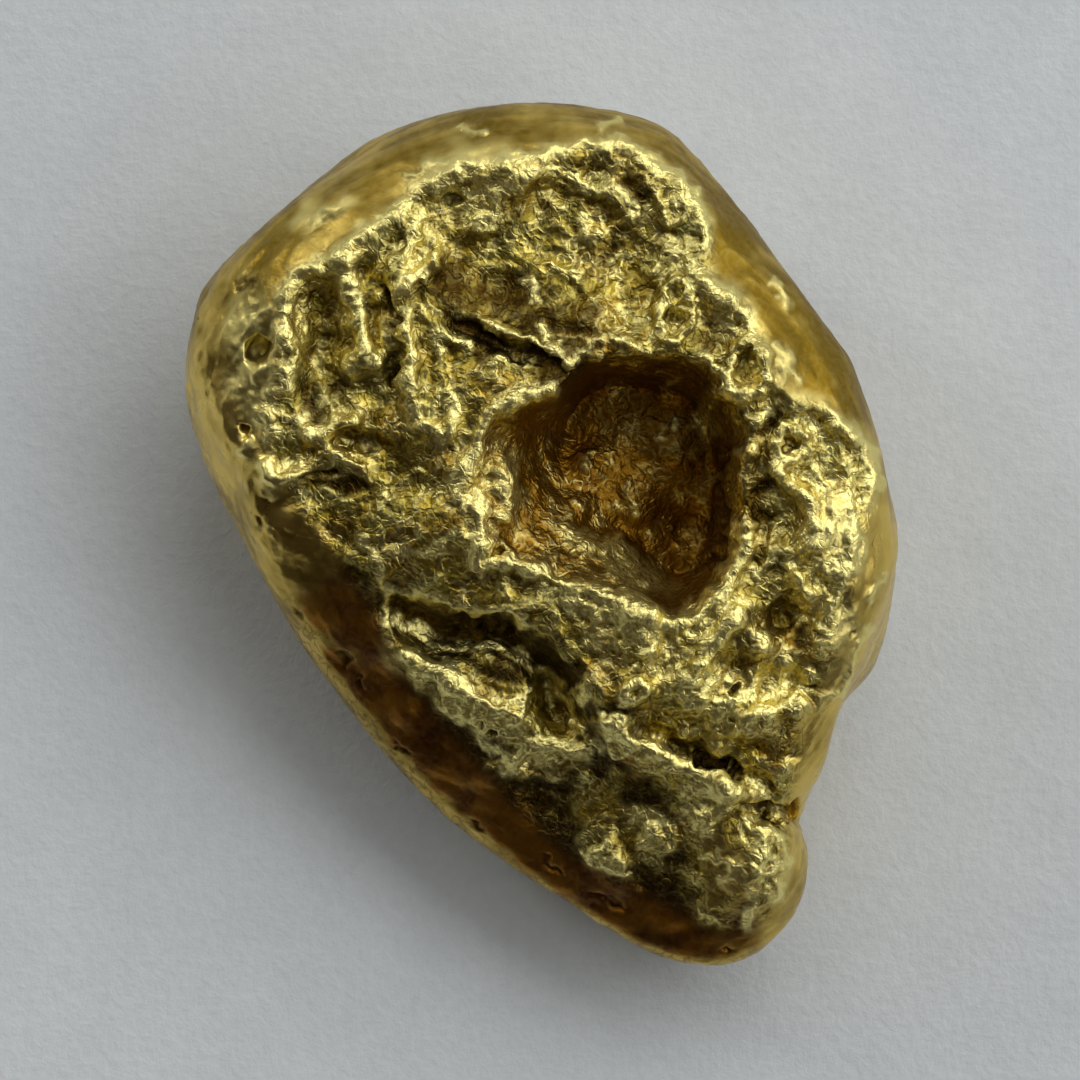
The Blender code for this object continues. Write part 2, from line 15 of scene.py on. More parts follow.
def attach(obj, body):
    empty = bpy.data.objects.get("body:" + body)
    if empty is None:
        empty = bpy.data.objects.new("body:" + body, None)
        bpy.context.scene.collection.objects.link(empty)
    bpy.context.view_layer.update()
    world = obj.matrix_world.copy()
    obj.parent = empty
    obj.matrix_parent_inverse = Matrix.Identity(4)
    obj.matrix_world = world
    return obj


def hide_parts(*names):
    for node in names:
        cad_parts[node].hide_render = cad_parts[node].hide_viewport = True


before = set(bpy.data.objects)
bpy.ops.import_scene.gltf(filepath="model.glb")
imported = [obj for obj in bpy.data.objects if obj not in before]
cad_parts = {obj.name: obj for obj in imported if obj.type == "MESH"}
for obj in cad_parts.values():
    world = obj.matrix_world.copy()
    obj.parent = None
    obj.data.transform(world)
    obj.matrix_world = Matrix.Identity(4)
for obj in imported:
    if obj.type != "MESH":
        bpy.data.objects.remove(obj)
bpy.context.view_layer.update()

METRES = 0.001

# Fine mesh: cell of the even mesh, triangles kept, and rounds of smoothing that take off the cells' steps and
# that give the ground on which small and large hollows are told
VOXEL = 0.040
MOST_TRIANGLES = 195000
UNDERSIDE_THINNING = 0.0005
STEP_SMOOTHING = 3
SMALL_GROUND = 45
LARGE_GROUND = 260

# The rough ground on top, as a closed outline; everything outside it is worn smooth
ROUGH_TOP = [
    (-4.75, 1.60), (-4.75, 2.30), (-4.50, 2.80), (-4.50, 3.60), (-4.35, 4.30), (-3.80, 4.75), (-3.10, 5.20),
    (-2.40, 5.75), (-1.70, 6.25), (-0.80, 6.45), (0.10, 6.55), (0.80, 6.75), (1.50, 6.70), (2.10, 6.35),
    (2.70, 5.85), (2.95, 5.20), (2.95, 4.40), (3.50, 4.00), (3.85, 3.30), (4.20, 2.45), (4.95, 2.15),
    (5.50, 1.60), (5.75, 0.90), (5.50, 0.00), (5.35, -0.80), (5.10, -1.60), (4.85, -2.50), (4.55, -3.20),
    (4.35, -4.20), (4.35, -4.80), (4.25, -5.60), (4.05, -6.40), (3.40, -6.85), (2.40, -6.50), (1.60, -6.10),
    (0.60, -5.60), (-0.30, -4.80), (-1.10, -3.90), (-1.90, -3.00), (-2.60, -2.00), (-3.00, -1.10),
    (-3.60, -0.30), (-4.30, 0.60),
]  # fmt: skip
ROUGH_EDGE = 0.35

PIT_BRINK = [
    (-1.02, 0.10), (-1.10, 0.50), (-1.36, 0.86), (-1.18, 1.40), (-1.00, 1.90), (-0.55, 2.28), (0.10, 2.50),
    (0.62, 2.92), (1.00, 3.12), (1.70, 3.15), (2.40, 3.15), (2.85, 3.00), (3.08, 2.55), (3.40, 2.10),
    (3.50, 1.60), (3.38, 1.00), (3.42, 0.30), (3.50, -0.10), (3.32, -0.60), (2.95, -1.10), (2.45, -1.42),
    (1.95, -1.38), (1.40, -1.12), (0.80, -0.85), (0.20, -0.70), (-0.35, -0.48), (-1.02, -0.48),
]  # fmt: skip

# Worn crest lines, bold and fine, painted pale: wear and painted highlight
BOLD_LINES = [
    # the rim, left to right
    [(-4.58, 1.70), (-4.72, 2.00), (-4.62, 2.45), (-4.35, 2.65), (-4.30, 3.10), (-4.45, 3.60), (-4.38, 4.10),
     (-4.20, 4.50), (-3.70, 4.72), (-3.20, 5.05), (-2.80, 5.35), (-2.50, 5.50), (-2.20, 5.90), (-1.70, 6.20),
     (-1.30, 6.35), (-0.60, 6.45), (0.10, 6.55), (0.80, 6.75), (1.50, 6.70), (2.10, 6.30), (2.60, 5.85),
     (2.85, 5.30), (2.75, 5.00)],
    [(2.30, 4.95), (2.50, 4.70), (2.85, 4.30), (3.20, 4.10), (3.48, 3.85), (3.65, 3.40), (3.88, 3.00),
     (3.88, 2.62), (3.50, 2.27)],
    [(5.00, 2.10), (5.15, 1.85), (5.50, 1.60), (5.72, 1.20), (5.75, 0.85)],
    [(5.30, 0.70), (5.36, 0.20), (5.25, -0.30), (5.35, -0.50), (5.15, -0.75), (5.05, -1.10), (4.88, -1.38),
     (4.74, -1.62), (4.80, -1.90)],
    # brink of the pit
    [(-1.08, -0.50), (-1.08, 0.05), (-1.02, 0.55), (-0.95, 0.75)],
    [(-1.30, 0.56), (-1.46, 0.80), (-1.36, 1.08), (-1.18, 1.38), (-1.08, 1.70), (-0.98, 1.95), (-0.80, 2.12),
     (-0.58, 2.26), (-0.36, 2.42), (-0.25, 2.52), (0.20, 2.46)],
    [(-1.05, -0.52), (-0.60, -0.44), (-0.30, -0.50), (0.00, -0.56), (0.28, -0.76), (0.45, -0.88),
     (0.56, -1.30)],
    [(0.55, -0.78), (0.90, -0.93), (1.30, -1.10), (1.50, -1.24), (1.85, -1.40), (1.95, -1.60)],
    [(1.95, -1.40), (2.25, -1.47), (2.52, -1.44), (2.80, -1.22), (3.12, -0.98), (3.30, -0.62), (3.40, -0.38),
     (3.52, -0.10)],
    # left basin, spur and rough tongue
    [(-3.40, 4.75), (-3.25, 4.20), (-3.15, 3.90), (-3.05, 3.35), (-3.25, 3.05), (-3.30, 2.85)],
    [(-1.85, 5.20), (-1.75, 4.90), (-2.00, 4.60), (-2.30, 4.38), (-2.42, 4.20)],
    [(-2.36, 3.80), (-2.28, 3.40), (-2.25, 3.00), (-2.36, 2.60)],
    [(-2.20, 2.25), (-2.20, 1.96), (-1.95, 1.86), (-1.62, 1.76), (-1.50, 1.92), (-1.50, 2.30)],
    [(-4.05, 1.95), (-3.92, 1.76), (-3.68, 1.86), (-3.50, 2.00), (-3.20, 2.06)],
    [(-4.78, 1.28), (-4.58, 1.05), (-4.40, 0.94), (-4.22, 1.02)],
    # right of the pit
    [(3.98, 1.15), (4.20, 0.90), (4.42, 0.72), (4.65, 0.50), (4.62, 0.20), (4.52, 0.02)],
    [(4.88, 0.20), (4.92, -0.05), (4.72, -0.12), (4.50, -0.26)],
    [(4.26, -0.52), (4.38, -0.74), (4.46, -0.90), (4.64, -1.08)],
    [(3.44, -1.15), (3.32, -1.42), (3.10, -1.62), (2.92, -1.95), (2.78, -2.25)],
    [(4.48, -2.72), (4.30, -2.90), (4.02, -2.93), (3.72, -3.08), (3.52, -3.25), (3.34, -3.40)],
    # the tongue
    [(-2.36, -2.04), (-2.10, -2.10), (-1.88, -2.22), (-1.68, -2.32), (-1.50, -2.48), (-1.32, -2.58),
     (-1.24, -2.76), (-1.00, -2.84), (-0.84, -2.96), (-0.62, -2.98)],
    [(-0.55, -4.02), (-0.42, -3.86), (-0.22, -3.76), (0.00, -3.76), (0.18, -3.62), (0.36, -3.58),
     (0.56, -3.70), (0.74, -3.74)],
    [(1.12, -3.28), (1.40, -3.48), (1.70, -3.58), (1.96, -3.70), (2.32, -3.80), (2.62, -3.94), (2.92, -4.00),
     (3.12, -4.12), (3.34, -4.28)],
]  # fmt: skip
FINE_LINES = [
    [(-2.20, 6.20), (-1.90, 6.40), (-1.58, 6.45)],
    [(-2.05, 5.50), (-2.20, 5.15), (-2.40, 4.85), (-2.50, 4.60)],
    [(-1.30, 5.30), (-1.00, 5.45), (-0.75, 5.60), (-0.80, 5.80), (-0.60, 6.00), (-0.30, 6.20), (0.00, 6.25),
     (0.30, 6.20)],
    [(0.30, 6.20), (0.70, 6.10), (0.90, 5.97), (1.10, 5.97), (1.30, 6.00), (1.45, 5.85), (1.60, 5.70),
     (1.50, 5.55)],
    [(1.75, 6.15), (2.00, 5.95), (2.10, 5.70)],
    [(2.20, 5.05), (2.15, 4.80), (2.05, 4.60)],
    [(-0.95, 3.66), (-0.50, 3.50), (0.00, 3.25), (0.35, 3.05), (0.52, 2.94)],
    [(-0.20, 4.45), (-0.05, 4.10)],
    [(-1.80, 3.50), (-1.75, 3.10)],
    [(0.80, 5.45), (0.70, 5.20), (0.95, 5.10)],
    [(0.05, 3.55), (0.28, 3.25), (0.40, 3.30)],
    [(0.50, 3.02), (0.72, 3.10), (0.85, 3.25)],
    [(1.20, 3.42), (1.36, 3.30), (1.50, 3.42), (1.58, 3.24)],
    [(-3.75, 1.70), (-3.60, 1.50), (-3.40, 1.35), (-3.20, 1.25)],
    [(-2.40, -0.15), (-2.10, -0.27), (-1.70, -0.20), (-1.50, 0.10)],
    [(-3.00, 0.00), (-2.85, -0.45), (-2.70, -0.80), (-2.65, -1.10), (-2.70, -1.50)],
    [(-2.50, -1.00), (-2.00, -1.00), (-1.60, -1.20), (-1.30, -1.35), (-0.70, -1.32), (-0.20, -1.52)],
    [(-2.60, -1.45), (-2.24, -1.56), (-1.82, -1.84), (-1.30, -1.92), (-0.84, -1.91), (-0.35, -2.05),
     (-0.05, -2.28), (0.21, -2.61), (0.42, -3.00), (0.65, -3.38), (1.07, -3.68)],
    [(-0.45, -2.86), (-0.26, -2.78), (-0.24, -3.02), (-0.40, -3.14), (-0.50, -3.28), (-0.62, -3.20)],
    [(-1.40, -3.20), (-1.18, -3.10), (-1.02, -3.26), (-1.05, -3.45)],
    [(-1.00, -3.60), (-0.80, -3.80), (-0.64, -3.72), (-0.58, -3.90)],
    [(-0.32, -3.52), (-0.10, -3.46), (0.05, -3.56)],
    [(0.60, -2.62), (0.82, -2.66), (0.70, -2.84), (0.50, -2.76)],
    [(1.06, -3.12), (1.22, -3.30), (1.30, -3.04), (1.42, -3.14), (1.55, -3.34)],
    [(2.50, -1.58), (2.80, -1.42), (3.20, -1.22)],
    [(2.58, -1.74), (2.90, -1.56), (3.22, -1.38)],
    [(2.05, -1.70), (2.20, -1.56), (2.40, -1.62), (2.35, -1.80)],
    [(1.20, -1.40), (1.40, -1.62), (1.70, -1.66), (1.90, -1.84)],
    [(0.70, -1.20), (0.95, -1.28), (1.00, -1.50)],
    [(3.62, -1.90), (3.84, -1.86), (3.90, -1.72), (3.68, -1.70)],
    [(3.70, -2.30), (3.80, -2.42), (3.68, -2.48), (3.60, -2.34)],
    [(4.20, -2.05), (4.26, -2.26), (4.42, -2.02)],
    [(3.10, -2.86), (3.30, -2.92), (3.56, -2.80), (3.66, -2.60)],
    [(2.55, -2.86), (2.78, -2.78), (2.92, -2.94), (2.70, -3.04)],
    [(2.98, -3.08), (3.20, -3.02), (3.40, -3.10)],
    [(3.60, -0.55), (3.72, -0.68), (3.86, -0.50), (4.02, -0.34), (4.20, -0.26)],
    [(4.10, -0.92), (4.24, -0.86), (4.36, -0.98)],
    [(4.72, -0.56), (4.86, -0.44), (5.02, -0.40), (5.08, -0.62), (4.92, -0.58)],
    [(4.92, 0.62), (5.04, 0.36), (5.10, 0.10)],
    [(5.40, 0.02), (5.52, -0.12), (5.46, -0.28)],
    [(4.15, 1.90), (4.05, 1.70), (4.00, 1.48), (4.10, 1.22)],
    [(3.55, 2.05), (3.70, 1.98), (3.86, 2.10), (4.02, 2.32)],
    [(4.66, 1.10), (4.82, 0.98), (4.94, 0.80)],
    [(2.62, -4.34), (2.90, -4.36), (3.10, -4.50), (3.26, -4.42), (3.40, -4.30)],
    [(3.50, -4.16), (3.62, -4.30), (3.80, -4.36), (3.92, -4.48)],
    [(2.70, -4.74), (2.86, -4.70), (2.94, -4.86), (2.86, -4.98)],
    [(1.52, -4.96), (1.80, -4.82), (2.05, -4.88), (2.12, -5.02), (1.90, -5.02)],
    [(1.00, -5.40), (1.12, -5.34), (1.20, -5.46)],
    [(1.18, -5.70), (1.28, -5.86), (1.42, -5.94), (1.56, -5.88)],
    [(3.14, -5.48), (3.32, -5.66), (3.46, -5.84), (3.58, -6.02), (3.66, -6.30), (3.62, -6.62),
     (3.60, -6.86)],
    [(2.82, -5.62), (3.06, -5.60)],
    [(3.18, -5.92), (3.30, -5.88), (3.34, -5.76)],
    [(3.58, -4.92), (3.72, -5.14), (3.90, -5.40), (4.06, -5.58), (4.12, -5.80), (3.92, -5.84),
     (3.76, -5.76)],
    [(4.12, -5.20), (4.24, -5.44), (4.22, -5.70)],
    [(4.10, -6.00), (4.18, -6.20), (4.04, -6.36)],
    [(-5.10, 3.50), (-4.95, 3.68), (-4.68, 3.92)],
    [(-4.92, 1.66), (-5.18, 1.42)],
    [(-1.42, 7.02), (-0.92, 6.94)],
    [(1.06, 7.06), (1.40, 7.12)],
    [(4.02, 4.34), (4.30, 4.00)],
    [(4.02, 3.30), (4.22, 3.00), (4.42, 2.70)],
    [(5.90, -0.70), (5.75, -1.00), (5.60, -1.02)],
    [(5.70, -1.60), (5.42, -2.00), (5.20, -2.50), (4.86, -2.90)],
]  # fmt: skip
BOLD_HEIGHT, BOLD_WIDTH = 0.075, 0.115
FINE_HEIGHT, FINE_WIDTH = 0.045, 0.060
RAGGED_SIZE, RAGGED_REACH = 0.30, 0.16

# Fine creases: points, depth, half width
CREASES = [
    ([(-2.50, 3.90), (-2.52, 3.40), (-2.47, 2.60)], 0.10, 0.08),
    ([(-3.40, 1.75), (-3.00, 1.60), (-2.70, 1.55)], 0.03, 0.06),
    ([(-4.10, 1.00), (-3.60, 1.12)], 0.04, 0.06),
    ([(-1.45, 3.66), (-0.95, 3.46), (-0.45, 3.18), (0.10, 3.04), (0.50, 2.80)], 0.07, 0.07),
    ([(1.40, 5.25), (1.10, 4.80), (0.80, 4.45), (0.75, 4.20)], 0.03, 0.06),
    ([(3.08, 3.00), (3.38, 3.20), (3.65, 3.20)], 0.08, 0.06),
    ([(2.40, -3.75), (2.80, -3.86), (3.20, -3.96), (3.42, -4.10)], 0.25, 0.08),
    ([(3.50, -4.66), (4.10, -4.72), (4.42, -4.82)], 0.14, 0.06),
    ([(4.40, -4.74), (4.46, -4.96)], 0.20, 0.08),
    ([(-1.30, -1.52), (-0.90, -1.56), (-0.50, -1.62)], 0.12, 0.10),
    ([(-5.15, 4.30), (-4.90, 4.45)], 0.05, 0.06),
    ([(3.14, 1.50), (3.08, 1.00), (3.16, 0.50), (3.16, 0.00), (3.02, -0.42)], 0.12, 0.07),
]  # fmt: skip

# Dents and small holes: x, y, half length, half width, angle in degrees, depth
DENTS = [
    (-4.88, 3.24, 0.19, 0.13, 60, 0.20), (-5.05, 1.85, 0.13, 0.09, -10, 0.20),
    (-4.85, 0.20, 0.12, 0.05, -60, 0.03), (-4.20, -1.30, 0.16, 0.04, -50, 0.03),
    (-3.36, -2.14, 0.18, 0.06, -48, 0.05), (-3.10, -2.55, 0.14, 0.03, -60, 0.04),
    (-2.46, -3.70, 0.16, 0.04, -50, 0.04), (-1.10, -5.05, 0.20, 0.04, -42, 0.03),
    (0.20, -5.76, 0.26, 0.07, -32, 0.05), (1.20, -6.36, 0.30, 0.07, -30, 0.05),
    (3.22, -7.22, 0.16, 0.05, 10, 0.06), (-1.50, 5.75, 0.20, 0.09, 15, 0.16),
    (2.70, 5.12, 0.08, 0.07, 0, 0.07), (2.25, 4.80, 0.08, 0.07, 0, 0.07),
    (3.35, -2.70, 0.09, 0.08, 0, 0.07), (4.80, -1.72, 0.08, 0.10, 0, 0.06),
    (5.36, -1.66, 0.10, 0.06, 30, 0.05), (-0.86, -3.30, 0.07, 0.07, 0, 0.06),
    (4.64, -2.60, 0.10, 0.07, 60, 0.07), (-2.60, 4.00, 0.10, 0.30, 10, 0.10),
    (-4.35, 3.10, 0.12, 0.10, 0, 0.12),
]  # fmt: skip

# Blisters ringed by a raised line: x, y, radius along x and y
RING_HEIGHT, RING_DIP = 0.06, 0.04
RINGS = [
    (2.30, 3.72, 0.28, 0.36), (2.34, 4.18, 0.20, 0.24), (3.50, 2.85, 0.34, 0.42),
    (4.27, 1.58, 0.26, 0.28), (1.60, -2.70, 0.20, 0.18), (-0.75, -0.25, 0.17, 0.15),
    (2.28, 5.58, 0.22, 0.20), (3.35, -2.70, 0.15, 0.14), (-0.85, -3.30, 0.13, 0.12),
]  # fmt: skip

# Beads of gold: x, y, radius, and their height as a share of the radius
BEAD_HEIGHT = 0.5
BEADS = [
    (-2.65, 0.72, 0.08), (-2.75, 0.50, 0.07), (-2.10, 1.18, 0.08), (-4.20, 1.25, 0.08),
    (-4.25, 1.00, 0.07), (0.25, 3.25, 0.10), (1.35, 3.32, 0.09), (1.56, 3.25, 0.08),
    (3.45, 1.45, 0.13), (2.76, -2.24, 0.13), (2.58, -2.48, 0.15), (2.80, -1.76, 0.08),
    (4.65, -2.30, 0.10), (4.62, -1.06, 0.12), (2.00, -5.16, 0.09), (1.82, -5.32, 0.09),
    (1.02, -5.42, 0.10), (1.26, -5.86, 0.09), (1.50, -5.90, 0.10), (2.66, -4.36, 0.09),
    (3.22, -4.40, 0.13), (2.84, -4.82, 0.12), (-0.80, 1.46, 0.08), (-0.76, 1.12, 0.09),
    (-0.78, 0.80, 0.10), (-0.60, 0.60, 0.10), (-0.64, 0.32, 0.11), (0.80, 1.28, 0.12),
    (0.88, 1.36, 0.09), (1.56, 0.86, 0.10), (1.60, 0.60, 0.08), (1.68, 0.42, 0.09),
    (0.76, -0.18, 0.11), (0.64, 0.54, 0.08), (1.15, -0.20, 0.10), (1.34, -0.06, 0.09),
    (0.40, 0.36, 0.09), (2.30, 0.16, 0.08), (1.30, 0.46, 0.09), (2.30, 2.62, 0.14), (2.80, 3.05, 0.14),
    (3.46, 0.26, 0.12), (3.70, -0.62, 0.09), (-2.85, 3.10, 0.12), (0.80, 5.35, 0.12),
    (0.35, 5.60, 0.10), (1.90, 0.08, 0.08), (0.20, -0.42, 0.09), (2.08, 1.70, 0.09),
    (2.40, 1.92, 0.09), (2.75, 1.90, 0.08), (1.45, -0.90, 0.07), (4.00, -0.22, 0.07),
    (-4.80, 2.88, 0.11), (1.30, -3.10, 0.09),
]  # fmt: skip

# Crinkle of the rough metal: size of the folds, height, how thin their crests are. Froth is small cells with
# raised walls. The means keep both from lifting the surface, and the crests are whole or broken in turn
CRINKLE = [(0.62, 0.034, 0.20), (0.34, 0.020, 0.24), (0.19, 0.010, 0.28)]
FROTH_SIZE, FROTH_HEIGHT, FROTH_WALL = 0.26, 0.016, 0.22
CREST_MEAN, WALL_MEAN = 0.3, 0.4
CREST_KEPT, CREST_BROKEN = 0.6, 1.6
WARP_SIZE, WARP_REACH = 0.7, 0.20

# Lumps between the folds: size and height
LUMPS = [(1.1, 0.11), (0.52, 0.070), (0.29, 0.040), (0.16, 0.026)]

# Worn streaks round the sides, and the crinkle of the underside beside that of the top
STREAK_LENGTH, STREAK_WIDTH, STREAK_HEIGHT = 1.1, 0.17, 0.016
UNDER_CRINKLE = 0.25

# Share of the crinkle that is worn off on lines, in dark patches and in the pit, and added in bright ones
WORN_CALM, DARK_CALM, PIT_CALM, BRIGHT_LIFE = 0.25, 0.35, 0.45, 0.45

# Heights that count as fully proud and fully raised above the ground round about; lower metal gets painted
# shade
PROUD_RANGE, RAISED_RANGE = 0.16, 0.40

# Nothing below this height is top, and the pit's darker colour, tarnish and painted shade, fades in over this
# width
TOP_FROM = 0.8
PIT_EDGE = 0.25

# How crinkled the worn sides are, and how tarnished and darkened as painted shade, by direction in degrees
# from +X towards +Y
SIDE_CRINKLE = [
    (0, 0.12), (45, 0.14), (90, 0.16), (130, 0.22), (150, 0.50), (180, 0.55), (200, 0.12), (270, 0.12),
    (315, 0.24),
]  # fmt: skip
SIDE_TARNISH_AND_SHADE = [
    (0, 0.20), (30, 0.90), (60, 0.95), (90, 0.75), (115, 0.80), (135, 0.60), (165, 0.10), (190, 0.40),
    (205, 0.60), (290, 0.60), (315, 0.20),
]  # fmt: skip

# Bright patches, partly wear and partly painted highlight, and dark ones, partly tarnish and partly painted
# shade:
# x, y, half length, half width, angle in degrees. They stand a little proud of the ground or lie a little
# below it
BRIGHT_RISE, DARK_DROP = 0.035, 0.04
BRIGHT_WEAR_AND_HIGHLIGHT_PATCHES = [
    (-3.75, 5.55, 0.42, 0.20, 30), (-5.00, 3.00, 0.40, 1.10, 0), (-1.20, 6.05, 0.80, 0.55, 15),
    (-2.15, 4.62, 0.36, 0.26, 60), (-3.35, 4.66, 0.60, 0.24, 35), (-4.25, 3.60, 0.20, 0.80, 0),
    (-2.34, 3.10, 0.16, 0.85, 0), (-3.20, 3.90, 0.24, 0.60, 10), (-1.95, 2.05, 0.35, 0.20, -10),
    (-4.45, 1.05, 0.45, 0.16, 20), (2.35, 5.62, 0.22, 0.30, 0), (2.20, 3.50, 0.30, 0.18, 0),
    (3.15, 3.92, 0.62, 0.36, -50), (3.75, 2.60, 0.38, 0.34, 0), (4.95, 1.80, 0.80, 0.34, -35),
    (4.55, 0.90, 0.50, 0.45, -60), (5.28, 0.40, 0.30, 0.95, 0), (4.75, -0.20, 0.45, 0.40, 0),
    (4.90, -1.10, 0.42, 0.85, 15), (3.40, -0.30, 0.18, 0.45, -20), (-1.15, 1.00, 0.20, 0.60, 10),
    (-0.62, 0.85, 0.28, 0.70, 5), (-0.60, 2.20, 0.42, 0.20, 25), (-1.00, -0.20, 0.20, 0.42, 0),
    (0.10, -0.75, 0.60, 0.20, -20), (1.45, -1.35, 0.90, 0.38, -28), (1.50, -0.55, 0.80, 0.30, -25),
    (1.70, -1.85, 0.80, 0.40, -20), (2.90, -1.45, 0.60, 0.30, 35), (2.70, -2.45, 0.60, 0.40, 0),
    (3.40, -3.00, 0.80, 0.34, 30), (4.30, -2.50, 0.34, 0.26, 60), (-1.75, -2.58, 0.95, 0.24, -36),
    (-0.70, -3.20, 0.46, 0.34, -20), (-0.10, -3.86, 0.70, 0.18, 8), (1.85, -3.68, 0.80, 0.14, -22),
    (3.05, -4.42, 0.55, 0.36, -35), (2.75, -4.95, 0.32, 0.26, 0), (-1.08, 6.25, 0.18, 0.50, 0),
    (2.85, 1.95, 0.16, 0.50, 0), (-2.75, 3.20, 0.16, 0.60, 0), (0.95, -0.15, 0.80, 0.20, -28),
    (2.55, 3.95, 0.16, 0.50, 10), (1.95, -5.25, 0.30, 0.16, 20), (1.10, -5.60, 0.36, 0.24, -35),
    (3.85, -5.55, 0.26, 0.65, 20),
]  # fmt: skip
DARK_TARNISH_AND_SHADE_PATCHES = [
    (-2.75, 3.90, 0.12, 0.45, 0), (-1.75, 4.95, 0.30, 0.14, 40), (-1.50, 4.20, 0.55, 0.40, -30),
    (-1.10, 3.45, 0.60, 0.22, -25), (-0.50, 4.15, 0.60, 0.30, 10), (0.30, 3.05, 0.70, 0.30, -20),
    (0.20, 3.70, 0.90, 0.30, -10), (0.25, 2.72, 0.50, 0.16, -15), (1.55, 5.75, 0.30, 0.20, 0),
    (2.90, 3.20, 0.20, 0.26, 0), (3.85, 1.95, 0.26, 0.20, 40), (3.80, 0.60, 0.18, 0.50, 0),
    (4.20, -0.60, 0.20, 0.18, 0), (4.55, -1.75, 0.16, 0.14, 0), (1.55, -3.05, 0.50, 0.22, -20),
    (2.75, -3.70, 0.80, 0.12, -22), (-3.40, 0.90, 0.50, 0.14, -10), (-3.90, 2.40, 0.30, 0.40, 0),
    (-2.40, -1.20, 0.60, 0.22, -30), (0.15, -4.30, 0.60, 0.16, -8), (0.10, -5.00, 0.65, 0.45, -30),
    (1.10, -3.95, 0.50, 0.16, -20), (1.85, -4.50, 0.50, 0.26, -20), (1.70, -6.10, 0.40, 0.34, -30),
    (2.15, -6.35, 0.50, 0.60, 20), (2.35, -5.60, 0.26, 0.20, 0), (0.60, -5.40, 0.30, 0.34, -30),
    (3.70, -4.85, 0.50, 0.10, -20), (3.55, -6.75, 0.30, 0.30, 0),
]  # fmt: skip
# Dark paths with their half widths: tarnish and painted shade in the fold and along the lower left side
DARK_TARNISH_AND_SHADE_PATHS = [
    (
        [(-2.62, -1.14), (-1.92, -1.46), (-1.05, -1.60), (-0.35, -1.74), (0.15, -2.18), (0.61, -2.80),
         (1.10, -3.38)],
        0.27,
    ),
    ([(-1.75, -2.00), (-1.05, -2.14), (-0.35, -2.50)], 0.15),
    (
        [(-3.30, -0.95), (-2.68, -2.05), (-2.05, -2.92), (-1.48, -3.50), (-1.00, -4.00), (-0.62, -4.50),
         (-0.12, -5.00), (0.40, -5.50), (1.10, -6.05), (1.90, -6.45)],
        0.52,
    ),
]  # fmt: skip

# Worn, smoother ground among the rough: places as above, and the share of the roughness that goes there
SMOOTH_PATCHES = [(3.35, -6.00, 0.40, 0.75, 20), (5.05, 0.20, 0.24, 0.60, 0)]
SMOOTH_SHARE = 0.65

# How far a patch reaches, as a multiple of its size, and how ragged the patches' edges are
PATCH_REACH = 1.6
PATCH_RAGGED_SIZE, PATCH_RAGGED_REACH = 0.40, 0.34

# Smooth band along one side, stained and darkened as painted shade: first and last direction in degrees from
# +X towards +Y, and how level the metal is where the band ends below
SHADED_STAIN_FROM, SHADED_STAIN_TO, SHADED_STAIN_FADE = 188, 303, 12
SHADED_STAIN_LEVEL, SHADED_STAIN_EDGE = 0.64, 0.05
SHADED_STAIN_RAGGED, SHADED_STAIN_RAGGED_SIZE = 0.12, 0.30

# The room: colour by height, 0 at the horizon and 1 overhead, and the dark side of it
ROOM = [
    (0.0, (0.11, 0.095, 0.075, 1)),
    (0.35, (0.19, 0.18, 0.165, 1)),
    (0.62, (0.36, 0.36, 0.34, 1)),
    (0.82, (0.37, 0.37, 0.36, 1)),
    (0.94, (0.19, 0.19, 0.185, 1)),
    (1.0, (0.17, 0.17, 0.165, 1)),
]
DARK_SIDE = (-0.34, -0.94, 0.0)
DARK_SIDE_COLOUR = (0.028, 0.020, 0.016, 1)
DARK_SIDE_RANGE = 0.02, 0.42

# Soft windows: name, azimuth from +Y towards +X, elevation, distance, width, height, power in watts
WINDOWS = [
    ("window", 38, 42, 0.45, 0.60, 0.34, 1.30),
    ("east_window", 108, 36, 0.45, 0.34, 0.25, 0.26),
    ("side_window", -50, 28, 0.50, 0.10, 0.10, 0.30),
]

PAPER_SIDE = 0.6
PAPER_DARK = (0.67, 0.71, 0.735, 1)
PAPER_PALE = (0.78, 0.82, 0.845, 1)

CAMERA_PLACE = (0.0, -0.000066, 0.150)
CAMERA_LENS, CAMERA_SENSOR = 281.3, 36.0


def smoothstep(x):
    x = np.clip(x, 0, 1)
    return x * x * (3 - 2 * x)


def smooth_path(points, closed=False, steps=6):
    """Points along the Catmull-Rom curve through the given points."""
    knots = np.array(points, float)
    if closed:
        knots = np.vstack([knots[-1], knots, knots[0], knots[1]])
    else:
        knots = np.vstack([2 * knots[0] - knots[1], knots, 2 * knots[-1] - knots[-2]])
    t = (np.arange(steps) / steps)[:, None]
    pieces = []
    for before, start, end, after in zip(knots, knots[1:], knots[2:], knots[3:]):
        pull = (end - before) * t
        bend = (2 * before - 5 * start + 4 * end - after) * t**2
        turn = (3 * start - before - 3 * end + after) * t**3
        pieces.append(0.5 * (2 * start + pull + bend + turn))
    pieces.append(knots[-2:-1])
    return np.vstack(pieces)


def path_distance(plan, path):
    nearest = np.full(len(plan), np.inf)
    for start, end in zip(path, path[1:]):
        run = end - start
        offset = plan - start
        t = np.clip(offset @ run / (run @ run), 0, 1)
        nearest = np.minimum(nearest, np.linalg.norm(offset - t[:, None] * run, axis=1))
    return nearest


def is_inside(plan, path):
    inside = np.zeros(len(plan), bool)
    x, y = plan.T
    for (x0, y0), (x1, y1) in zip(path, np.roll(path, -1, axis=0)):
        if y0 != y1:
            crosses = (y0 > y) != (y1 > y)
            inside ^= crosses & (x < x0 + (y - y0) * (x1 - x0) / (y1 - y0))
    return inside


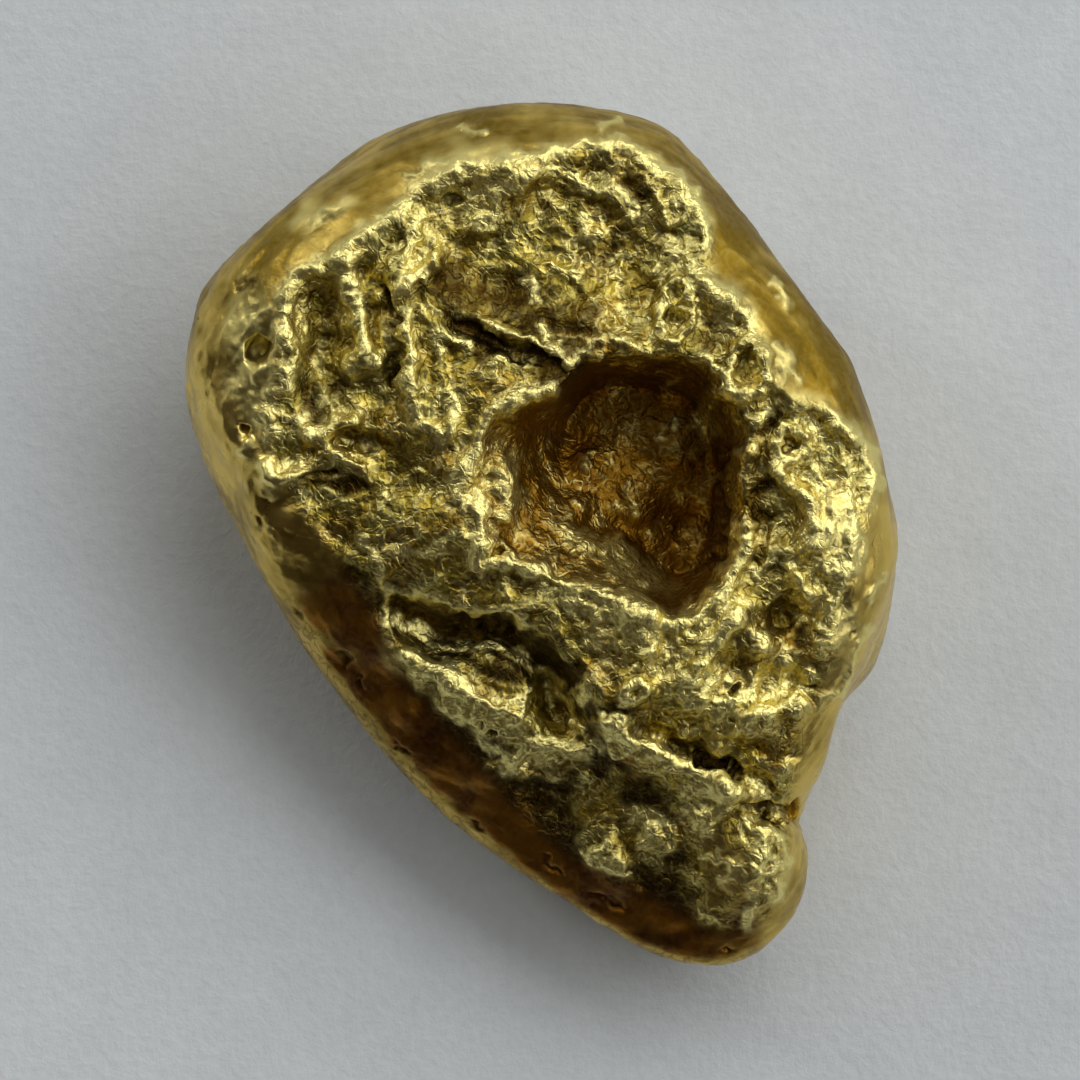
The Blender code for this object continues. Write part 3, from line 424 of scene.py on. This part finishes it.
def line_profile(plan, points, half_width):
    """1 on the line, falling to 0 at about twice its half width."""
    path = smooth_path(points)
    low = path.min(axis=0) - 3 * half_width
    high = path.max(axis=0) + 3 * half_width
    near = np.flatnonzero(((plan > low) & (plan < high)).all(axis=1))
    profile = np.zeros(len(plan))
    profile[near] = np.exp(-((path_distance(plan[near], path) / half_width) ** 2))
    return profile


def oval(plan, x, y, half_length, half_width, degrees=0.0):
    """Distance from an oval's middle, 1 on its edge."""
    turn = math.radians(degrees)
    dx, dy = plan[:, 0] - x, plan[:, 1] - y
    along = dx * math.cos(turn) + dy * math.sin(turn)
    across = dy * math.cos(turn) - dx * math.sin(turn)
    return np.hypot(along / half_length, across / half_width)


def noise_at(points, size, start):
    origin = Vector((start, 1.7 * start, 3.1))
    return np.array([noise.noise(Vector(p / size) + origin) for p in points])


def rounded_mesh(node):
    """The node's solid in millimetres, its facets rounded off, as an even fine mesh."""
    mesh = node.data.copy()
    mesh.transform(Matrix.Scale(1 / METRES, 4))
    bm = bmesh.new()
    bm.from_mesh(mesh)
    bmesh.ops.remove_doubles(bm, verts=bm.verts, dist=0.0005)
    bm.to_mesh(mesh)
    bm.free()
    draft = bpy.data.objects.new("draft", mesh)
    bpy.context.scene.collection.objects.link(draft)
    soften = draft.modifiers.new("soften", "SUBSURF")
    soften.levels = soften.render_levels = 2
    even = draft.modifiers.new("even", "REMESH")
    even.mode = "VOXEL"
    even.voxel_size = VOXEL
    return baked(draft)


def baked(draft):
    """The draft's mesh with its modifiers applied; the draft goes."""
    bpy.context.view_layer.update()
    evaluated = draft.evaluated_get(bpy.context.evaluated_depsgraph_get())
    mesh = bpy.data.meshes.new_from_object(evaluated)
    bpy.data.objects.remove(draft)
    return mesh


def read_points(mesh, what="co"):
    values = np.empty(len(mesh.vertices) * 3)
    mesh.vertices.foreach_get(what, values)
    return values.reshape(-1, 3)


def neighbour_smooth(values, edges, rounds):
    """Each row of values averaged with its neighbours', again and again."""
    ends = np.concatenate([edges, edges[:, ::-1]])
    count = np.bincount(ends[:, 0], minlength=len(values))[:, None]
    for _ in range(rounds):
        sums = [np.bincount(ends[:, 0], column[ends[:, 1]], len(values)) for column in values.T]
        values = 0.5 * values + 0.5 * np.column_stack(sums) / count
    return values


def cell_walls(points, size):
    """1 on the walls between small cells, 0 inside them."""
    gaps = np.empty(len(points))
    for i, point in enumerate(points):
        nearest = noise.voronoi(Vector(point / size))[0]
        gaps[i] = nearest[1] - nearest[0]
    return np.exp(-((gaps / FROTH_WALL) ** 2))


def crinkle(points):
    """Thin wandering crests and small froth, as on metal that has shrunk and been hammered."""
    warp = np.column_stack([noise_at(points, WARP_SIZE, start) for start in (11, 23, 37)])
    bent = points + WARP_REACH * warp
    height = np.zeros(len(points))
    crest = np.zeros(len(points))
    for i, (size, rise, thin) in enumerate(CRINKLE):
        line = np.exp(-((noise_at(bent, size, 51 + 9 * i) / thin) ** 2))
        line *= smoothstep(CREST_KEPT + CREST_BROKEN * noise_at(points, 1.4 * size, 31 + 6 * i))
        height += rise * (line - CREST_MEAN)
        crest = np.maximum(crest, line * (1 - 0.25 * i))
    walls = cell_walls(bent, FROTH_SIZE)
    height += FROTH_HEIGHT * (walls - WALL_MEAN)
    crest = np.maximum(crest, 0.8 * walls)
    for i, (size, rise) in enumerate(LUMPS):
        height += rise * noise_at(bent, size, 90 + 7 * i)
    return height, crest


def streaks(points):
    """Fine worn lines that run round the sides, level with the edge."""
    around = np.arctan2(points[:, 1], points[:, 0]) * 5.5
    out = np.hypot(points[:, 0], points[:, 1])
    laid = np.column_stack([around / STREAK_LENGTH, out / STREAK_WIDTH, points[:, 2] / STREAK_WIDTH])
    return noise_at(laid, 1, 5) + 0.5 * noise_at(laid, 0.5, 8)


def place_relief(plan):
    """The named lines, rings, beads and dents: height, how worn and painted as highlight, how sunk the metal
    is there.
    """
    flat = np.column_stack([plan, np.zeros(len(plan))])
    ragged = np.column_stack([noise_at(flat, RAGGED_SIZE, start) for start in (63, 71)])
    frayed = np.column_stack([noise_at(flat, 0.4 * RAGGED_SIZE, start) for start in (65, 73)])
    patchy = 0.75 + 0.9 * noise_at(flat, 1.3 * RAGGED_SIZE, 77)
    plan = plan + RAGGED_REACH * (ragged + 0.5 * frayed)
    height = np.zeros(len(plan))
    wear_and_highlight = np.zeros(len(plan))
    bold = (BOLD_LINES, BOLD_HEIGHT, BOLD_WIDTH)
    fine = (FINE_LINES, FINE_HEIGHT, FINE_WIDTH)
    for lines, rise, width in (bold, fine):
        for points in lines:
            profile = line_profile(plan, points, width)
            height += rise * patchy * profile
            wear_and_highlight = np.maximum(wear_and_highlight, np.minimum(2 * profile, 1))
    sunk = np.zeros(len(plan))
    for points, depth, half_width in CREASES:
        profile = line_profile(plan, points, half_width)
        height -= depth * profile
        wear_and_highlight *= 1 - profile
        sunk = np.maximum(sunk, profile)
    for x, y, radius_x, radius_y in RINGS:
        away = oval(plan, x, y, radius_x, radius_y)
        line = np.exp(-(((away - 1) * min(radius_x, radius_y) / FINE_WIDTH) ** 2))
        height += RING_HEIGHT * line - RING_DIP * np.exp(-((away / 0.7) ** 4))
        wear_and_highlight = np.maximum(wear_and_highlight, line)
    for x, y, radius in BEADS:
        bead = np.exp(-(oval(plan, x, y, radius, radius) ** 2))
        height += BEAD_HEIGHT * radius * bead
        wear_and_highlight = np.maximum(wear_and_highlight, smoothstep(bead * 1.2))
    for x, y, half_length, half_width, degrees, depth in DENTS:
        away = oval(plan, x, y, half_length, half_width, degrees)
        hole = np.exp(-(away**4))
        height -= depth * hole
        wear_and_highlight *= 1 - hole
        sunk = np.maximum(sunk, hole)
    return height, wear_and_highlight, sunk


def patches(plan):
    """How bright (wear and painted highlight) and how dark (tarnish and painted shade) the metal is, in
    ragged patches.
    """
    flat = np.column_stack([plan, np.zeros(len(plan))])
    ragged = np.column_stack([noise_at(flat, PATCH_RAGGED_SIZE, start) for start in (83, 89)])
    plan = plan + PATCH_RAGGED_REACH * ragged
    bright, dark = np.zeros((2, len(plan)))
    for values, ovals in ((bright, BRIGHT_WEAR_AND_HIGHLIGHT_PATCHES), (dark, DARK_TARNISH_AND_SHADE_PATCHES)):
        for patch in ovals:
            np.maximum(values, smoothstep(PATCH_REACH - oval(plan, *patch)), out=values)
    for points, half_width in DARK_TARNISH_AND_SHADE_PATHS:
        np.maximum(dark, np.minimum(1.5 * line_profile(plan, points, half_width), 1), out=dark)
    return bright, dark * (1 - bright)


def edge_distance(plan, outline):
    """Distance to a closed outline, positive inside it."""
    path = smooth_path(outline, closed=True, steps=4)
    return np.where(is_inside(plan, path), 1, -1) * path_distance(plan, path)


def surface_mesh(node):
    mesh = rounded_mesh(node)
    edges = np.empty(len(mesh.edges) * 2, int)
    mesh.edges.foreach_get("vertices", edges)
    edges = edges.reshape(-1, 2)
    points = neighbour_smooth(read_points(mesh), edges, STEP_SMOOTHING)
    mesh.vertices.foreach_set("co", points.ravel())
    normals = read_points(mesh, "normal")

    plan = points[:, :2]
    upper = smoothstep((normals[:, 2] + 0.15) / 0.3) * (points[:, 2] > TOP_FROM)
    rough = smoothstep(edge_distance(plan, ROUGH_TOP) / ROUGH_EDGE + 0.5) * upper
    for patch in SMOOTH_PATCHES:
        rough *= 1 - SMOOTH_SHARE * smoothstep(PATCH_REACH - oval(plan, *patch))
    in_pit = smoothstep(edge_distance(plan, PIT_BRINK) / PIT_EDGE) * upper
    placed, wear_and_highlight, sunk = place_relief(plan)
    bright, dark = patches(plan)
    folds, crest = crinkle(points)
    compass = np.degrees(np.arctan2(plan[:, 1], plan[:, 0]))
    side = np.maximum(np.interp(compass, *np.array(SIDE_CRINKLE).T, period=360), 0.5 * bright)
    under = UNDER_CRINKLE * smoothstep(-2 * normals[:, 2])
    ground = np.maximum(side + (1 - side) * rough, under)
    calm = (1 - WORN_CALM * wear_and_highlight * upper) * (1 - DARK_CALM * dark * upper)
    calm = calm * (1 + BRIGHT_LIFE * bright) * (1 - PIT_CALM * in_pit)
    streak = streaks(points)
    relief = placed * upper + folds * ground * calm + STREAK_HEIGHT * streak * (1 - rough)
    relief += (BRIGHT_RISE * bright - DARK_DROP * dark) * rough
    from_start = (compass - SHADED_STAIN_FROM) % 360
    to_end = SHADED_STAIN_TO - SHADED_STAIN_FROM - from_start
    sector = smoothstep(from_start / SHADED_STAIN_FADE) * smoothstep(to_end / SHADED_STAIN_FADE)
    ragged_level = SHADED_STAIN_LEVEL + SHADED_STAIN_RAGGED * noise_at(points, SHADED_STAIN_RAGGED_SIZE, 97)
    stain_and_shade = sector * smoothstep((normals[:, 2] - ragged_level) / SHADED_STAIN_EDGE) * (1 - rough)
    moved = points + normals * relief[:, None]
    moved[:, 2] = np.maximum(moved[:, 2], 0)
    mesh.vertices.foreach_set("co", moved.ravel())

    small = neighbour_smooth(moved, edges, SMALL_GROUND)
    large = neighbour_smooth(small, edges, LARGE_GROUND)
    set_values(mesh, "proud", np.clip(0.5 + ((moved - small) * normals).sum(axis=1) / PROUD_RANGE, 0, 1))
    set_values(mesh, "raised", np.clip(0.5 + ((small - large) * normals).sum(axis=1) / RAISED_RANGE, 0, 1))
    set_values(mesh, "wear_and_highlight", np.clip(wear_and_highlight * upper, 0, 1))
    set_values(mesh, "crest", np.clip(crest * ground, 0, 1))
    set_values(mesh, "rough", rough)
    set_values(mesh, "pit", in_pit)
    set_values(mesh, "sunk", np.clip(sunk * upper, 0, 1))
    set_values(mesh, "bright", bright * upper)
    set_values(mesh, "dark", dark * upper)
    set_values(mesh, "stain_and_shade", stain_and_shade)
    set_values(mesh, "lip", sector * (1 - stain_and_shade) * (1 - rough))
    set_values(mesh, "streak", np.clip(0.5 + 0.8 * streak, 0, 1))
    set_values(mesh, "side_tarnish_and_shade", np.interp(compass, *np.array(SIDE_TARNISH_AND_SHADE).T, period=360) * (1 - rough))
    return thinned(mesh, smoothstep(-3 * normals[:, 2]))


def set_values(mesh, name, values):
    attribute = mesh.attributes.new(name, "FLOAT", "POINT")
    attribute.data.foreach_set("value", values.astype(np.float32))


def thinned(mesh, spare):
    """The mesh with fewer triangles, above all where spare is 1."""
    draft = bpy.data.objects.new("draft", mesh)
    bpy.context.scene.collection.objects.link(draft)
    group = draft.vertex_groups.new(name="spare")
    group.add(np.flatnonzero(spare < 0.5).tolist(), 0.25, "REPLACE")
    group.add(np.flatnonzero(spare >= 0.5).tolist(), 1.0, "REPLACE")
    thin = draft.modifiers.new("thin", "DECIMATE")
    thin.ratio = min(1.0, MOST_TRIANGLES / (2 * len(mesh.polygons)))
    thin.vertex_group = "spare"
    thin.vertex_group_factor = UNDERSIDE_THINNING
    thin.use_collapse_triangulate = True
    thinner = baked(draft)
    thinner.transform(Matrix.Scale(METRES, 4))
    thinner.shade_smooth()
    return thinner


class Nodes:
    """A short way to write a material's nodes."""

    def __init__(self, material):
        material.use_nodes = True
        self.tree = material.node_tree
        self.shader = self.tree.nodes["Principled BSDF"]

    def add(self, kind, inputs=(), **settings):
        node = self.tree.nodes.new(kind)
        for key, value in settings.items():
            setattr(node, key, value)
        for key, value in dict(inputs).items():
            self.put(node, key, value)
        return node

    def put(self, node, key, value):
        if isinstance(value, bpy.types.NodeSocket):
            self.tree.links.new(value, node.inputs[key])
        else:
            node.inputs[key].default_value = value

    def value(self, name):
        return self.add("ShaderNodeAttribute", attribute_name=name).outputs["Fac"]

    def math(self, operation, a, b=0.0, clamp=False):
        return self.add("ShaderNodeMath", {0: a, 1: b}, operation=operation, use_clamp=clamp).outputs[0]

    def mix(self, share, a, b):
        node = self.add("ShaderNodeMix", data_type="RGBA")
        for key, value in ((0, share), (6, a), (7, b)):
            self.put(node, key, value)
        return node.outputs[2]

    def ramp(self, value, low, high, to_low=0.0, to_high=1.0):
        node = self.add("ShaderNodeMapRange", {0: value, 1: low, 2: high, 3: to_low, 4: to_high})
        return node.outputs[0]

    def noise(self, size, detail=3.0, roughness=0.55, bend=0.0, seed=0.0):
        node = self.add(
            "ShaderNodeTexNoise",
            {"Scale": 1 / size, "Detail": detail, "Roughness": roughness, "Distortion": bend, "W": seed},
            noise_dimensions="4D",
        )
        coordinates = self.add("ShaderNodeTexCoord")
        self.put(node, "Vector", coordinates.outputs["Object"])
        return node.outputs["Fac"]

    def thread_lines(self, size, half_width, seed):
        """1 along thin lines that wander through the metal, 0 between them."""
        away = self.math("ABSOLUTE", self.math("SUBTRACT", self.noise(size, 1.0, 0.4, 0.6, seed), 0.5))
        return self.ramp(away, half_width, 0.0)


def gold_material():
    material = bpy.data.materials.new("native_gold")
    nodes = Nodes(material)
    shader = nodes.shader
    shader.inputs["Metallic"].default_value = 1.0
    names = ("proud", "raised", "wear_and_highlight", "crest", "rough", "pit", "sunk", "streak", "side_tarnish_and_shade")
    proud, raised, wear_and_highlight, crest, rough, pit, sunk, streak, tarnish_and_side_shade = (nodes.value(name) for name in names)
    bright, dark, stain_and_shade, lip = (nodes.value(name) for name in ("bright", "dark", "stain_and_shade", "lip"))
    grain = nodes.noise(0.00006, 2.0, 0.5)
    speckle = nodes.noise(0.00013, 3.0, 0.65, 0.3, 7.0)
    worms = nodes.thread_lines(0.00020, 0.13, 1.0)
    cracks = nodes.thread_lines(0.00024, 0.06, 2.0)
    brown_patches = nodes.noise(0.0007, 3.0, 0.6, 0.0, 3.0)
    grey_patches = nodes.noise(0.0009, 3.0, 0.6, 0.0, 4.0)
    thread_patches = nodes.noise(0.0005, 2.0, 0.5, 0.0, 5.0)
    flank_patches = nodes.noise(0.0011, 3.0, 0.6, 0.0, 6.0)

    flank_gold = (0.80, 0.58, 0.14, 1)
    # side tarnish colour: tarnish and painted shade, set by direction
    flank_tarnish_and_shade = (0.27, 0.17, 0.015, 1)
    # band colours: stain and painted shade on the side away from the windows
    shaded_stain_brown = (0.34, 0.142, 0.012, 1)
    shaded_stain_black = (0.13, 0.042, 0.006, 1)
    rough_gold = (0.56, 0.42, 0.060, 1)
    brown_gold = (0.34, 0.18, 0.014, 1)
    grey_gold = (0.34, 0.32, 0.085, 1)
    # painted shade: dark gold for the hollows and cracks
    hollow_shade_gold = (0.14, 0.088, 0.007, 1)
    # near black gold: tarnish and painted shade in dark patches, dirt and painted shade in creases and dents,
    # scratches on the lip
    black_gold = (0.052, 0.028, 0.004, 1)
    # the pit's colour: tarnish and painted shade in the recess
    pit_tarnish_and_shade_gold = (0.21, 0.096, 0.007, 1)
    # pale gold: wear and painted highlight on worn lines, threads, crests, beads and bright patches
    pale_gold_and_highlight = (1.00, 0.88, 0.33, 1)

    ground = nodes.mix(nodes.ramp(brown_patches, 0.46, 0.62, 0.0, 0.85), rough_gold, brown_gold)
    ground = nodes.mix(nodes.ramp(grey_patches, 0.48, 0.64, 0.0, 0.8), ground, grey_gold)
    # painted shade in small and large hollows, with random mottle from the speckle
    low = nodes.math("MAXIMUM", nodes.ramp(raised, 0.48, 0.30, 0.0, 0.62), nodes.ramp(proud, 0.44, 0.22))
    low = nodes.math("MAXIMUM", low, nodes.ramp(speckle, 0.50, 0.38, 0.0, 0.75))
    low = nodes.math("MULTIPLY", low, nodes.ramp(bright, 0.0, 1.0, 1.0, 0.6))
    ground = nodes.mix(low, ground, hollow_shade_gold)
    # painted shade along the fine cracks
    ground = nodes.mix(nodes.math("MULTIPLY", cracks, 0.8), ground, hollow_shade_gold)
    # dark patches and paths painted near black: tarnish and painted shade
    gloom = nodes.math("MULTIPLY", dark, nodes.ramp(speckle, 0.50, 0.70, 1.0, 0.55))
    ground = nodes.mix(gloom, ground, black_gold)
    # pale threads, crests and specks in bright patches: wear and painted highlight
    thread = nodes.math("MULTIPLY", worms, nodes.ramp(thread_patches, 0.40, 0.62, 0.06, 0.75))
    thread = nodes.math("MAXIMUM", thread, nodes.math("MULTIPLY", crest, nodes.ramp(proud, 0.54, 0.80)))
    thread = nodes.math("MAXIMUM", thread, nodes.math("MULTIPLY", bright, nodes.ramp(speckle, 0.40, 0.56)))
    thread = nodes.math("MULTIPLY", thread, nodes.ramp(dark, 0.0, 1.0, 1.0, 0.07))
    speckled_wear_and_highlight = nodes.math("MULTIPLY", wear_and_highlight, nodes.ramp(speckle, 0.34, 0.50, 0.5, 1.0))
    polish_and_highlight = nodes.math("MAXIMUM", speckled_wear_and_highlight, thread)
    ground = nodes.mix(polish_and_highlight, ground, pale_gold_and_highlight)

    # side colour by direction: tarnish and painted shade, with random patches and streaks
    age_and_shade = nodes.math("ADD", tarnish_and_side_shade, nodes.ramp(flank_patches, 0.35, 0.65, -0.40, 0.40))
    age_and_shade = nodes.math("ADD", age_and_shade, nodes.ramp(streak, 0.25, 0.75, 0.14, -0.14), clamp=True)
    flank = nodes.mix(age_and_shade, flank_gold, flank_tarnish_and_shade)
    flank = nodes.mix(nodes.math("MULTIPLY", nodes.math("MULTIPLY", cracks, lip), 0.6), flank, black_gold)
    inner = nodes.ramp(rough, 0.0, 0.45, 1.0, 0.0)
    inner = nodes.math("MULTIPLY", inner, nodes.ramp(brown_patches, 0.40, 0.58))
    # the band: stain and painted shade, black near the rough top and brown further out
    stain_and_shade_colour = nodes.mix(inner, shaded_stain_black, shaded_stain_brown)
    # dark patches on the sides: tarnish and painted shade
    flank = nodes.mix(nodes.math("MULTIPLY", dark, 0.8), flank, shaded_stain_black)
    flank = nodes.mix(stain_and_shade, flank, stain_and_shade_colour)
    # bright patches, threads and worn lines on the sides: wear and painted highlight
    flank = nodes.mix(nodes.math("MULTIPLY", bright, 0.7), flank, pale_gold_and_highlight)
    flank = nodes.mix(nodes.math("MULTIPLY", worms, 0.05), flank, pale_gold_and_highlight)
    flank = nodes.mix(nodes.math("MULTIPLY", wear_and_highlight, 0.7), flank, pale_gold_and_highlight)

    colour = nodes.mix(rough, flank, ground)
    # the pit darkened, tarnish and painted shade, less on pale lines and in bright patches
    pit_tarnish_and_shade = nodes.math("MULTIPLY", pit, nodes.ramp(polish_and_highlight, 0.0, 1.0, 0.95, 0.35))
    pit_tarnish_and_shade = nodes.math("MULTIPLY", pit_tarnish_and_shade, nodes.ramp(bright, 0.0, 1.0, 1.0, 0.55))
    colour = nodes.mix(pit_tarnish_and_shade, colour, pit_tarnish_and_shade_gold)
    # creases and dents painted near black: dirt and painted shade
    colour = nodes.mix(nodes.math("MULTIPLY", sunk, 0.7), colour, black_gold)
    nodes.put(shader, "Base Color", colour)

    dull = nodes.math("ADD", nodes.ramp(rough, 0.0, 1.0, 0.29, 0.42), nodes.math("MULTIPLY", tarnish_and_side_shade, 0.24))
    dull = nodes.math("SUBTRACT", dull, nodes.math("MULTIPLY", polish_and_highlight, 0.12))
    dull = nodes.math("ADD", dull, nodes.math("MULTIPLY", nodes.math("MAXIMUM", wear_and_highlight, bright), 0.11))
    nodes.put(shader, "Roughness", dull)

    height = nodes.math("ADD", nodes.math("MULTIPLY", worms, 0.6), nodes.math("MULTIPLY", grain, 0.8))
    height = nodes.math("ADD", height, nodes.math("MULTIPLY", speckle, 0.8))
    height = nodes.math("SUBTRACT", height, nodes.math("MULTIPLY", cracks, 0.5))
    height = nodes.math("MULTIPLY", height, nodes.ramp(rough, 0.0, 1.0, 0.12, 1.0))
    bump = nodes.add("ShaderNodeBump", {"Strength": 1.0, "Distance": 0.000014, "Height": height})
    nodes.put(shader, "Normal", bump.outputs[0])
    return material


def add_nugget():
    piece = bpy.data.objects.new("nugget_surface", surface_mesh(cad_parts["nugget"]))
    bpy.context.scene.collection.objects.link(piece)
    piece.data.materials.clear()
    piece.data.materials.append(gold_material())
    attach(piece, "root")
    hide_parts("nugget")


def add_paper():
    bm = bmesh.new()
    bmesh.ops.create_grid(bm, x_segments=1, y_segments=1, size=PAPER_SIDE / 2)
    mesh = bpy.data.meshes.new("paper")
    bm.to_mesh(mesh)
    bm.free()
    paper = bpy.data.objects.new("paper", mesh)
    bpy.context.scene.collection.objects.link(paper)
    material = bpy.data.materials.new("paper")
    nodes = Nodes(material)
    fibres = nodes.noise(0.00022, 4.0, 0.65)
    cloud = nodes.noise(0.0016, 3.0, 0.6)
    fine, broad = (nodes.ramp(value, 0.3, 0.7, -0.5, 0.5) for value in (fibres, cloud))
    shade = nodes.math("ADD", fine, broad)
    colour = nodes.mix(nodes.ramp(shade, -1, 1), PAPER_DARK, PAPER_PALE)
    nodes.put(nodes.shader, "Base Color", colour)
    nodes.put(nodes.shader, "Roughness", 0.9)
    bump = nodes.add("ShaderNodeBump", {"Strength": 1.0, "Distance": 0.00003, "Height": fibres})
    nodes.put(nodes.shader, "Normal", bump.outputs[0])
    mesh.materials.append(material)


def add_window(name, azimuth, elevation, distance, width, height, power):
    """A soft rectangular light that faces the nugget."""
    light = bpy.data.lights.new(name, "AREA")
    light.shape = "RECTANGLE"
    light.size = width
    light.size_y = height
    light.energy = power
    lamp = bpy.data.objects.new(name, light)
    bpy.context.scene.collection.objects.link(lamp)
    turn, rise = math.radians(azimuth), math.radians(elevation)
    towards = Vector((math.sin(turn) * math.cos(rise), math.cos(turn) * math.cos(rise), math.sin(rise)))
    lamp.location = towards * distance
    lamp.rotation_euler = (-towards).to_track_quat("-Z", "Y").to_euler()


def add_room():
    """Dim overhead, a paler band of walls, a low horizon that is dark towards the lower left."""
    world = bpy.data.worlds.new("room")
    bpy.context.scene.world = world
    world.use_nodes = True
    tree = world.node_tree

    def node(kind, **settings):
        made = tree.nodes.new(kind)
        for key, value in settings.items():
            setattr(made, key, value)
        return made

    direction = node("ShaderNodeTexCoord").outputs["Generated"]
    parts = node("ShaderNodeSeparateXYZ")
    tree.links.new(direction, parts.inputs[0])
    ramp = node("ShaderNodeValToRGB")
    tree.links.new(parts.outputs["Z"], ramp.inputs[0])
    elements = ramp.color_ramp.elements
    elements[0].position, elements[0].color = ROOM[0]
    elements[1].position, elements[1].color = ROOM[-1]
    for position, colour in ROOM[1:-1]:
        elements.new(position).color = colour
    towards = node("ShaderNodeVectorMath", operation="DOT_PRODUCT")
    tree.links.new(direction, towards.inputs[0])
    towards.inputs[1].default_value = DARK_SIDE
    share = node("ShaderNodeMapRange", interpolation_type="SMOOTHSTEP")
    tree.links.new(towards.outputs["Value"], share.inputs[0])
    share.inputs[1].default_value, share.inputs[2].default_value = DARK_SIDE_RANGE
    mix = node("ShaderNodeMix", data_type="RGBA")
    tree.links.new(share.outputs[0], mix.inputs[0])
    tree.links.new(ramp.outputs[0], mix.inputs[6])
    mix.inputs[7].default_value = DARK_SIDE_COLOUR
    tree.links.new(mix.outputs[2], tree.nodes["Background"].inputs[0])


def add_light():
    add_room()
    for window in WINDOWS:
        add_window(*window)


def add_camera():
    """Straight down, as far off as makes the nugget fill the frame as it should."""
    camera = bpy.data.cameras.new("camera")
    camera.sensor_width = CAMERA_SENSOR
    camera.lens = CAMERA_LENS
    camera.clip_start = 0.01
    camera.clip_end = 10.0
    holder = bpy.data.objects.new("camera", camera)
    bpy.context.scene.collection.objects.link(holder)
    holder.location = CAMERA_PLACE
    bpy.context.scene.camera = holder


bpy.context.scene.view_settings.view_transform = "Standard"
add_nugget()
add_paper()
add_light()
add_camera()
